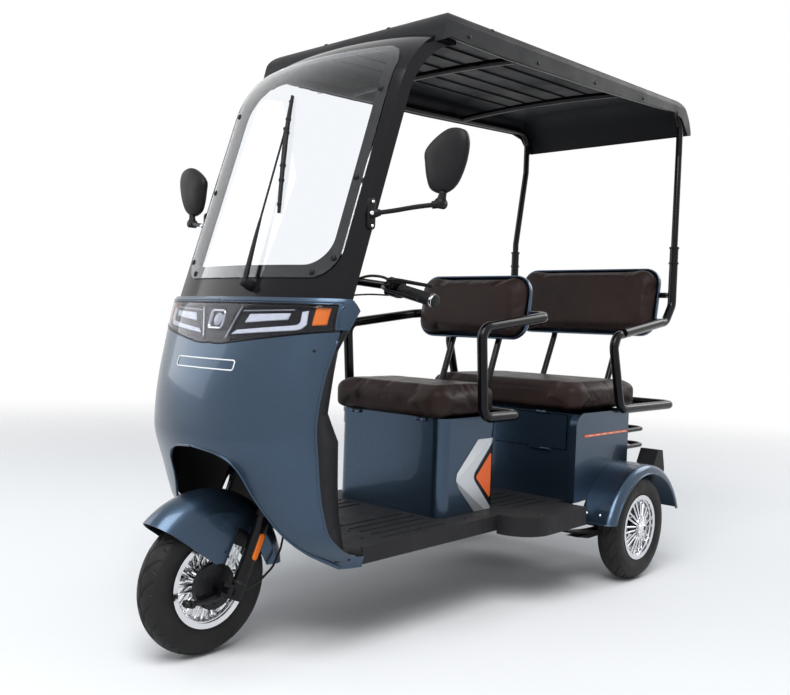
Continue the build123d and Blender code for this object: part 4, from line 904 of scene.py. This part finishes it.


# The silver chevron carries a white strip along its upper arm, which is a painted highlight, and a
# dark grey strip along its lower arm, which is a painted shade.
for name, finish, lift, first, second in (
        ("chevron", silver_film, 0.0008,
            [(0.885, 0.517), (0.783, 0.419), (0.779, 0.396), (0.791, 0.373), (0.876, 0.2895)],
            [(0.975, 0.517), (0.873, 0.414), (0.868, 0.399), (0.876, 0.384), (0.966, 0.2895)]),
        ("chevron_light", white_film_and_painted_highlight, 0.0014, [(0.885, 0.517), (0.783, 0.419), (0.779, 0.396)],
            [(0.946, 0.517), (0.858, 0.446), (0.782, 0.398)]),
        ("chevron_shade", painted_shade_film, 0.0014, [(0.779, 0.396), (0.791, 0.373), (0.876, 0.2895)],
            [(0.781, 0.394), (0.85, 0.345), (0.93, 0.2895)]),
        ("arrow_border", finishes["gloss_black"], 0.0011, [(0.871, 0.404), (0.966, 0.5)],
            [(0.871, 0.392), (0.966, 0.296)]),
        ("arrow", orange_film, 0.0017, [(0.881, 0.401), (0.951, 0.469), (0.957, 0.464)],
            [(0.881, 0.395), (0.951, 0.327), (0.957, 0.332)])):
    points, faces = ribbon(first, second, 14, 20)
    make_piece(name, mirrored([(box_side(points, lift), faces)]), "gloss_black", finish)


def side_strip(start, end, low, high, x):
    """A flat strip on a side panel, from one station to another."""
    return patch(at(x, start, low), at(x, end, low), at(x, end, high), at(x, start, high), 3, 40)


make_piece("rear_stripe", mirrored([side_strip(1.298, 1.602, 0.507, 0.515, REAR_SIDE + 0.0008)]),
    "gloss_black", orange_film)
make_piece("rear_stripe_dashes",
    mirrored([side_strip(start, start + 0.03, 0.5098, 0.512, REAR_SIDE + 0.0013)
        for start in (1.325, 1.372, 1.419, 1.466, 1.513, 1.56)]),
    "gloss_black", white_film_and_painted_highlight)
# Painted highlights: three thin white strips on the front fender, running parallel to the fork leg,
# stand in for streaks of light on the leg.
make_piece("fender_painted_highlights", mirrored([ribbon(line, line + [0.0, 0.007, -0.004]) for line in
    (places([(FENDER_SIDE, s, z), (FENDER_SIDE, s - 0.025, z - 0.05)])
        for s, z in ((0.045, 0.29), (0.055, 0.285), (0.065, 0.28)))]),
    "gloss_black", white_film_and_painted_highlight, "steering")


# ---- bolts
def bolt_set(name, node, direction, radius, height, rows, slot="trim_black", body="chassis",
        both=True):
    """Round bolt heads where rays along a direction meet a node, on both sides if asked."""
    centres, normals = drop(node, places(rows), direction)
    heads = domes(centres, normals, radius, height)
    make_piece(name, mirrored(heads) if both else heads, slot, body=body)


bolt_set("screen_bolts", "windshield", (0, 1, 0), 0.0085, 0.0045,
    [(x, -0.3, z) for x, z in ((0.293, 1.03), (0.293, 1.24), (0.293, 1.48), (0.245, 0.994))])
bolt_set("fairing_screws", "front_fairing", (-1, 0, 0), 0.004, 0.002,
    [(ASIDE, 0.075, 0.8), (ASIDE, 0.235, 0.262)])
bolt_set("floor_screws", "floor_pan", (0, 0, -1), 0.006, 0.0025,
    [(hand * x, s, 0.5) for hand in (-1, 1) for x, s in (
        (0.231, 0.352), (0.151, 0.38), (0.081, 0.419), (0.262, 0.56), (0.262, 0.77),
        (0.262, 1.18), (0.385, 0.985), (0.385, 1.185))], both=False)
bolt_set("fender_bolts", "front_fender", (-1, 0, 0), 0.0035, 0.002,
    [(0.3, 0.048, 0.327), (0.3, 0.02, 0.272), (0.3, 0.03, 0.258)], body="steering")


# ---- mirrors
MIRROR_OUTLINE = closed_curve([(0.456, 1.3), (0.486, 1.328), (0.53, 1.3475), (0.57, 1.341),
    (0.586, 1.318), (0.584, 1.28), (0.57, 1.238), (0.548, 1.206),
    (0.512, 1.192), (0.478, 1.204), (0.464, 1.232), (0.457, 1.268)], 96)
MIRROR_MIDDLE = np.array([0.522, 1.272])
MIRROR_FRONT, MIRROR_REAR = 0.279, 0.3065       # stations of the head's front and rear
MIRROR_BASE = 0.2274                             # station of its foot on the pillar
FOOT_Z = 1.145


def mirror_shell(profile, hand):
    """The mirror's outline drawn in towards its middle through a profile of (share, station)."""
    count = len(MIRROR_OUTLINE)
    share, station = (column[:, None] for column in np.transpose(profile))
    flat = MIRROR_MIDDLE + (MIRROR_OUTLINE - MIRROR_MIDDLE)[None] * share[..., None]
    points = np.stack([flat[..., 0] * hand, AXLE_Y + station * np.ones(count), flat[..., 1]], -1)
    faces = ring_faces(len(profile), count)
    return points, faces if hand > 0 else [face[::-1] for face in faces]


def make_mirror(side, hand):
    """A head with its glass, domed as 16 mm times (1 - sqrt(1 - sin^2.6)) from its front to its
    rim, an arm with two knuckles, and a bolted foot on the pillar."""
    swing = np.sin(np.linspace(np.pi / 2, 0, 12))
    dome = MIRROR_FRONT + 0.016 * (1 - np.sqrt(np.maximum(1 - swing ** 2.6, 0)))
    head = [(0.86, MIRROR_REAR - 0.002), (0.89, MIRROR_REAR), (0.96, MIRROR_REAR),
        (1.0, MIRROR_REAR - 0.004)] + list(zip(0.1 + 0.9 * swing, dome))
    knuckle = at(hand * 0.518, 0.2934, 1.196)
    elbow = at(hand * 0.513, 0.2915, 1.167)
    path = curve_through([at(hand * 0.342, MIRROR_BASE, FOOT_Z), at(hand * 0.4, 0.2494, 1.152),
        at(hand * 0.455, 0.268, 1.16), at(hand * 0.511, 0.2905, 1.166)])
    parts = [mirror_shell(head, hand), tube(path, 0.006, 16), tube(np.linspace(elbow, knuckle, 6),
        [0.0105, 0.0115, 0.0115, 0.01, 0.0095, 0.0095], 20), tube(path[-5:], 0.0098, 20),
        tube(path[:6], [0.0125, 0.0125, 0.011, 0.011, 0.009, 0.0085], 20),
        drum((-0.012, 0.012), 0.0125, elbow, (0, 1, 0), 24), tray(0.0125, 0.04, 0.012,
            [(0.0, -0.001), (0.0, 0.0055), (0.0015, 0.007), (0.006, 0.007)],
            lambda p: np.stack([hand * (0.3403 + p[:, 2]), AXLE_Y + MIRROR_BASE + p[:, 0],
                FOOT_Z + p[:, 1]], 1))]
    make_piece(f"mirror_{side}_body", parts, "trim_black", replaced=f"mirror_{side}")
    glass = [(0.875, MIRROR_REAR - 0.0006), (0.5, MIRROR_REAR - 0.0001), (0.02, MIRROR_REAR)]
    points, faces = mirror_shell(glass, hand)
    make_piece(f"mirror_{side}_glass", [(points, [face[::-1] for face in faces])], "alloy",
        mirror_glass)
    bolts = domes([at(hand * 0.3475, MIRROR_BASE, FOOT_Z + z) for z in (-0.03, 0.03)],
        [(hand, 0, 0)] * 2, 0.0045, 0.0035)
    bolts += domes([at(hand * 0.356, MIRROR_BASE - 0.0125, FOOT_Z)], [(0, -1, 0)], 0.0055, 0.005)
    make_piece(f"mirror_{side}_bolts", bolts, "alloy", chrome)


make_mirror("left", 1)
make_mirror("right", -1)


# ---- wiper
SCREEN_LEAN = math.radians(18.3)
SCREEN_BEND = 0.9                        # the screen's radius across the vehicle


def on_screen(*rows):
    """Points (x, z, stand) standing off the screen's straight part, which leans and bends."""
    x, z, stand = np.transpose(rows)
    sag = SCREEN_BEND - np.sqrt(SCREEN_BEND ** 2 - x * x)
    station = 0.07 + (z - 0.928) * math.tan(SCREEN_LEAN) + sag - stand
    return places(np.stack([x, station, z], 1))


def make_wiper():
    """A tapered arm from its boss, and a bowed blade with claws on a rubber lip.

    The arm thins as (1 - t / 0.42)^0.6, the blade's spine as the root of its distance from the
    ends, and each of six claws swells it as exp(-(distance / 0.010)^2) of its length.
    """
    arm = curve_through(on_screen((0.058, 0.958, 0.024), (0.05, 1.1, 0.026),
        (0.04, 1.25, 0.022), (0.029, 1.39, 0.017)), 60)
    thick = 0.003 + 0.0048 * np.clip(1 - np.linspace(0, 1, 60) / 0.42, 0, 1) ** 0.6
    blade = curve_through(on_screen((0.09, 1.152, 0.009), (0.068, 1.245, 0.0125),
        (0.046, 1.33, 0.0135), (0.024, 1.415, 0.0125), (0.005, 1.49, 0.009)), 140)
    s = np.linspace(0, 1, 140)
    claws = sum(np.exp(-((s - middle) / 0.01) ** 2) for middle in (0.06, 0.24, 0.36, 0.64, 0.76, 0.94))
    spine = 0.004 + 0.0034 * np.clip(1 - np.abs(s - 0.5) / 0.46, 0, 1) ** 0.5 + 0.0022 * claws
    boss = [(0.0, 0.0145), (0.01, 0.0145), (0.014, 0.012), (0.028, 0.0115), (0.032, 0.009),
        (0.033, 0.0)]
    parts = [tube(arm, thick, 14), tube(blade, spine, 14),
        tube(blade + [0.0, 0.0055, 0.0], 0.0022, 8),
        drum((-0.007, 0.007), 0.006, on_screen((0.029, 1.39, 0.014))[0], (1, 0, 0), 20),
        lathe(boss, on_screen((0.058, 0.958, 0.001))[0],
            (0, -math.cos(SCREEN_LEAN), math.sin(SCREEN_LEAN)), 32)]
    make_piece("wiper_arm", parts, "trim_black", replaced="wiper")


make_wiper()


# ---- fork and bar trim
RAKE = math.radians(24.0)
LEG_X, LEG_LEAD, TRAIL = 0.095, 0.025, 0.013


def on_leg(height, x=LEG_X):
    """A point on a fork leg's middle line, at a height along the steering axis."""
    return at(x, -TRAIL + height * math.sin(RAKE) - LEG_LEAD * math.cos(RAKE),
        height * math.cos(RAKE) + LEG_LEAD * math.sin(RAKE))


def make_fork_trim():
    """Chrome tubes over the upper legs, seals on the sliders and long reflectors beside them."""
    axis = on_leg(1.0) - on_leg(0.0)
    axes = np.array([np.cross(axis, [1.0, 0.0, 0.0]), axis, [1.0, 0.0, 0.0]])
    seal = [0.0196, 0.0215, 0.0215, 0.0205, 0.0215, 0.0215, 0.018, 0.0145]

    def place(points):
        """Lays an outline along the leg, on its outer side."""
        return on_leg(0.3, LEG_X + 0.0188) + points @ axes

    seals = [tube(np.linspace(on_leg(0.376), on_leg(0.412), 8), seal, 32),
        tube(np.linspace(on_leg(0.196), on_leg(0.205), 4), 0.02, 32),
        tray(0.011, 0.0375, 0.01,
            [(0.0, -0.002), (0.0, 0.0028), (0.0012, 0.0032), (0.003, 0.0032)], place, 64)]
    sleeve = tube(np.linspace(on_leg(0.404), on_leg(0.599), 12), 0.0136, 32)
    reflector = tray(0.0088, 0.035, 0.008,
        [(0.0, -0.002), (0.0, 0.0035), (0.0012, 0.005), (0.004, 0.0058)], place, 64)
    make_piece("fork_tubes", mirrored([sleeve]), "alloy", chrome, "steering")
    make_piece("fork_seals", mirrored(seals), "grip_rubber", body="steering")
    # The fork reflectors glow faintly from their finish: a painted glow.
    make_piece("fork_reflectors", mirrored([reflector]), "lamp_glass", fork_reflector_painted_glow, "steering")


make_fork_trim()


def make_bar_trim():
    """Ribbed grip sleeves with bright end rings and caps, levers, switches and cables.

    The ribs swell as the square of (1 + cosine) / 2, 22 times along the grip.
    """
    end = at(0.368, 0.463, 0.936)
    run = unit(end - at(0.19, 0.456, 0.978))

    def part_of_bar(first, last, radii, count=6):
        """A round length of the bar between two distances from its end."""
        return tube(np.linspace(end + run * first, end + run * last, count), radii, 32)

    wave = np.cos(np.linspace(0, 1, 121) * 2 * np.pi * 22)
    ribs = 0.0166 + 0.0011 * (0.5 + 0.5 * wave) ** 2
    ribs[:3], ribs[-3:] = 0.0188, 0.0182
    lever = curve_through(places([(0.235, 0.425, 0.992), (0.27, 0.42, 0.99),
        (0.325, 0.43, 0.982), (0.374, 0.44, 0.975)]), 50)
    blade = np.interp(np.linspace(0, 1, 50), [0, 0.15, 0.6, 0.93, 0.97, 1],
        [0.0085, 0.0062, 0.0052, 0.0048, 0.0068, 0.0045])
    perch = tube(places([(0.222, 0.434, 0.985), (0.228, 0.452, 0.972)]), 0.0115, 24)
    pod = end - run * 0.152
    up = np.array([0.0, -0.25, 0.97])
    switches = [tray(0.015, 0.011, 0.004, [(0.0, 0.0), (0.0, 0.006), (0.002, 0.008), (0.006, 0.0085)],
        lambda p: pod + up * (0.02 + p[:, 2:]) + run * p[:, :1]
        + np.cross(up, run) * p[:, 1:2], 48)]
    switches += domes([pod + up * 0.0225 + run * shift for shift in (-0.01, 0.004, 0.014)],
        [up] * 3, 0.0045, 0.004)
    from_pod = curve_through(np.vstack([
        pod + [(-0.01, -0.01, -0.02), (-0.06, -0.05, -0.02), (-0.12, -0.07, -0.03)],
        places([(0.06, 0.375, 0.9), (0.03, 0.335, 0.85)])]), 50)
    from_lever = curve_through(places([(0.232, 0.43, 0.99), (0.205, 0.415, 1.001), (0.16, 0.4, 1.0),
        (0.11, 0.38, 0.975), (0.06, 0.35, 0.92), (0.03, 0.33, 0.85)]), 60)
    for name, slot, finish, parts in (
            ("grip_ribs", "grip_rubber", None, [part_of_bar(-0.126, -0.014, ribs, 121)]),
            ("grip_ends", "alloy", chrome,
                [part_of_bar(-0.015, -0.004, [0.0166, 0.0182, 0.0182, 0.0182, 0.0182, 0.017])]),
            ("grip_caps", "grip_rubber", None,
                [part_of_bar(-0.006, 0.0015, [0.017, 0.0176, 0.0176, 0.0172, 0.016, 0.012])]),
            ("brake_levers", "trim_black", None, [tube(lever, blade, 16), perch]),
            ("bar_switches", "trim_black", None, switches),
            ("bar_cables", "cable_black", None,
                [tube(from_pod, 0.0025, 10), tube(from_lever, 0.0038, 12)])):
        make_piece(name, mirrored(parts), slot, finish, "steering")


make_bar_trim()


# ---- rear trim
TAIL_TOP, TAIL_LOW = (1.7225, 0.435), (1.7395, 0.38)     # station and height of the lens
tail_lens = pillow(at(0.374, *TAIL_LOW), at(0.432, *TAIL_LOW), at(0.432, *TAIL_TOP),
    at(0.374, *TAIL_TOP), -0.004)
make_piece("tail_lenses", mirrored([tail_lens]), "lamp_glass", red_lens)


def make_fender_beads():
    """A rolled bead on the circle of a rear fender's outer edge and along both of its ends."""
    station, z = 1.549, 0.127
    edge, skin, drop_to = 0.2475, 0.278, 0.0975
    low, reach = math.asin(drop_to / edge), 0.2775 * math.cos(math.asin(drop_to / skin))
    turn = np.linspace(math.pi - low, low, 90)
    rim = places(np.stack([np.full(90, 0.4738), station + edge * np.cos(turn),
        z + edge * np.sin(turn)], 1))

    def end(side):
        """The bead along a lower end, level and then drawn in by 10 mm at the outer edge."""
        foot = station + reach * side
        return curve_through(places([(0.356, foot, 0.2245), (0.41, foot, 0.2245),
            (0.448, foot, 0.2245), (0.468, foot - 0.01 * side, 0.2245)]), 24)

    bead = tube(np.vstack([end(-1), rim, end(1)[::-1]]), 0.0034)
    bolts = domes(places([(x, station - 0.2625, 0.256) for x in (0.38, 0.43)]),
        [(0, -1, 0.25)] * 2, 0.0045, 0.0025)
    make_piece("rear_fender_beads", mirrored([bead]), "body_blue")
    make_piece("rear_fender_bolts", mirrored(bolts), "alloy", chrome)


make_fender_beads()
BARREL = [(-0.02, 0.0), (-0.02, 0.0045), (-0.019, 0.0052), (-0.007, 0.0052), (-0.0065, 0.0046),
    (0.0065, 0.0046), (0.007, 0.0052), (0.019, 0.0052), (0.02, 0.0045), (0.02, 0.0)]
for name, x, station in (("front_lid_knuckles", 0.14, 0.686), ("rear_lid_knuckles", 0.2, 1.264)):
    barrel = lathe(BARREL, at(x, station, 0.584), (1, 0, 0), 20)
    make_piece(name, mirrored([barrel]), "body_blue")
bolt_set("canopy_bolts", "roof", (-1, 0, 0), 0.006, 0.003,
    [(ASIDE, s, z) for s, z in ((0.56, 1.664), (0.9, 1.674), (1.24, 1.69),
        (1.58, 1.71), (1.86, 1.716))])


def make_pan_toes():
    """Closes the pan's front corners down to the fairing: one thick section per station.

    The inner edge follows the leg shield's foot, the outer edge the inside of the fairing, and
    both are interpolated over the station from the pan's front edge forward.
    """
    station = np.linspace(0.2828, 0.201, 24)
    inner = np.interp(station, [0.2, 0.23, 0.25, 0.257, 0.283], [0.276, 0.264, 0.248, 0.23, 0.15])
    outer = np.interp(station, [0.2, 0.218, 0.24, 0.262, 0.283],
        [0.284, 0.289, 0.2935, 0.2965, 0.2985])
    top = np.interp(station, [0.2, 0.25, 0.283], [0.281, 0.287, 0.2878])
    low = np.full(24, 0.257)
    section = [(inner, top), (outer - 0.005, top), (outer - 0.0015, top - 0.0015),
        (outer, top - 0.005), (outer, low), (inner, low)]
    points = np.stack([np.stack([x, AXLE_Y + station, z], 1) for x, z in section], 1)
    faces = ring_faces(24, 6)
    faces.insert(-1, list(range(6))[::-1])
    make_piece("pan_toes", mirrored([(points, faces)]), "floor_black", smooth=False)


make_pan_toes()
bolt_set("canopy_front_bolts", "roof", (0, 1, 0), 0.006, 0.003,
    [(hand * x, AHEAD, 1.716) for hand in (-1, 1) for x in (0.13, 0.36)], both=False)
bolt_set("brake_bolts", "front_brake", (-1, 0, 0), 0.0036, 0.003,
    [(0.2, 0.044 * math.cos(turn), TYRE_RADIUS + 0.044 * math.sin(turn))
        for turn in np.arange(6) * math.pi / 3 + 0.3], "axle_iron", "steering", False)


def make_brake_arm():
    """A flat arm from the brake plate's pivot out past the rim, with the cable's clamp on it."""
    knots = places([(0.0715, 0.02, 0.166), (0.072, -0.03, 0.158), (0.073, -0.07, 0.16),
        (0.074, -0.098, 0.164)])
    parts = [tube(curve_through(knots), np.linspace(0.0078, 0.0058, 40), 16),
        drum((-0.01, 0.01), 0.0095, knots[3], (1, 0, 0), 6),
        drum((-0.01, 0.01), 0.0095, at(0.074, -0.086, 0.161), (1, 0, 0), 6),
        drum((-0.008, 0.006), 0.0125, knots[0], (1, 0, 0), 28)]
    make_piece("brake_arm", parts, "axle_iron", body="steering")


make_brake_arm()


# ---- stage
def make_floor():
    """A pale floor that fades out far away: a smooth step from 2.2 m to 7 m."""
    mesh = bpy.data.meshes.new("floor")
    reach = 12.0
    corners = [(x * reach, y * reach, 0) for x, y in ((-1, -1), (1, -1), (1, 1), (-1, 1))]
    mesh.from_pydata(corners, [], [(0, 1, 2, 3)])
    floor = new_object("floor", mesh)
    material = bpy.data.materials.new("pale_floor")
    material.use_nodes = True
    tree = material.node_tree
    shader = tree.nodes["Principled BSDF"]
    shader.inputs["Base Color"].default_value = (0.8, 0.81, 0.82, 1.0)
    shader.inputs["Roughness"].default_value = 0.9
    place = add_node(tree, "ShaderNodeTexCoord").outputs["Object"]
    length = add_node(tree, "ShaderNodeVectorMath", {0: place}, operation="LENGTH")
    fade = add_node(tree, "ShaderNodeMapRange", {
        "Value": length.outputs["Value"], "From Min": 2.2, "From Max": 7.0},
        interpolation_type="SMOOTHSTEP")
    clear = add_node(tree, "ShaderNodeBsdfTransparent")
    mix = add_node(tree, "ShaderNodeMixShader", {
        0: fade.outputs[0], 1: shader.outputs[0], 2: clear.outputs[0]})
    tree.links.new(mix.outputs[0], tree.nodes["Material Output"].inputs["Surface"])
    mesh.materials.append(material)


def make_world():
    """A soft grey-blue light on the vehicle, white where it is seen, reflected or seen through."""
    world = bpy.data.worlds.new("studio")
    world.use_nodes = True
    bpy.context.scene.world = world
    tree = world.node_tree
    tree.nodes.clear()
    rays = add_node(tree, "ShaderNodeLightPath").outputs
    seen = maths(tree, "MAXIMUM", rays["Is Camera Ray"], rays["Is Glossy Ray"])
    seen = maths(tree, "MAXIMUM", seen, rays["Is Transmission Ray"])
    dim = add_node(tree, "ShaderNodeBackground", {"Color": (0.9, 0.94, 1.0, 1.0), "Strength": 0.42})
    bright = add_node(tree, "ShaderNodeBackground", {"Color": (1.0, 1.0, 1.0, 1.0), "Strength": 1.0})
    mix = add_node(tree, "ShaderNodeMixShader", {0: seen, 1: dim.outputs[0], 2: bright.outputs[0]})
    add_node(tree, "ShaderNodeOutputWorld", {"Surface": mix.outputs[0]})


make_floor()
make_world()
for name, place, aim, size, power in (
        ("key", (1.6, -3.0, 4.8), (0, -0.3, 0.6), 3.5, 290.0),
        ("fill", (-4.2, -2.6, 2.6), (0, 0, 0.8), 3.2, 60.0),
        ("rim", (1.5, 4.6, 3.6), (0, 0.3, 0.9), 2.6, 90.0)):
    lamp = bpy.data.lights.new(name, "AREA")
    lamp.size = size
    lamp.energy = power
    turn = (Vector(aim) - Vector(place)).to_track_quat("-Z", "Y").to_matrix().to_4x4()
    new_object(name, lamp).matrix_world = Matrix.Translation(place) @ turn
bpy.context.scene.view_settings.view_transform = "Standard"
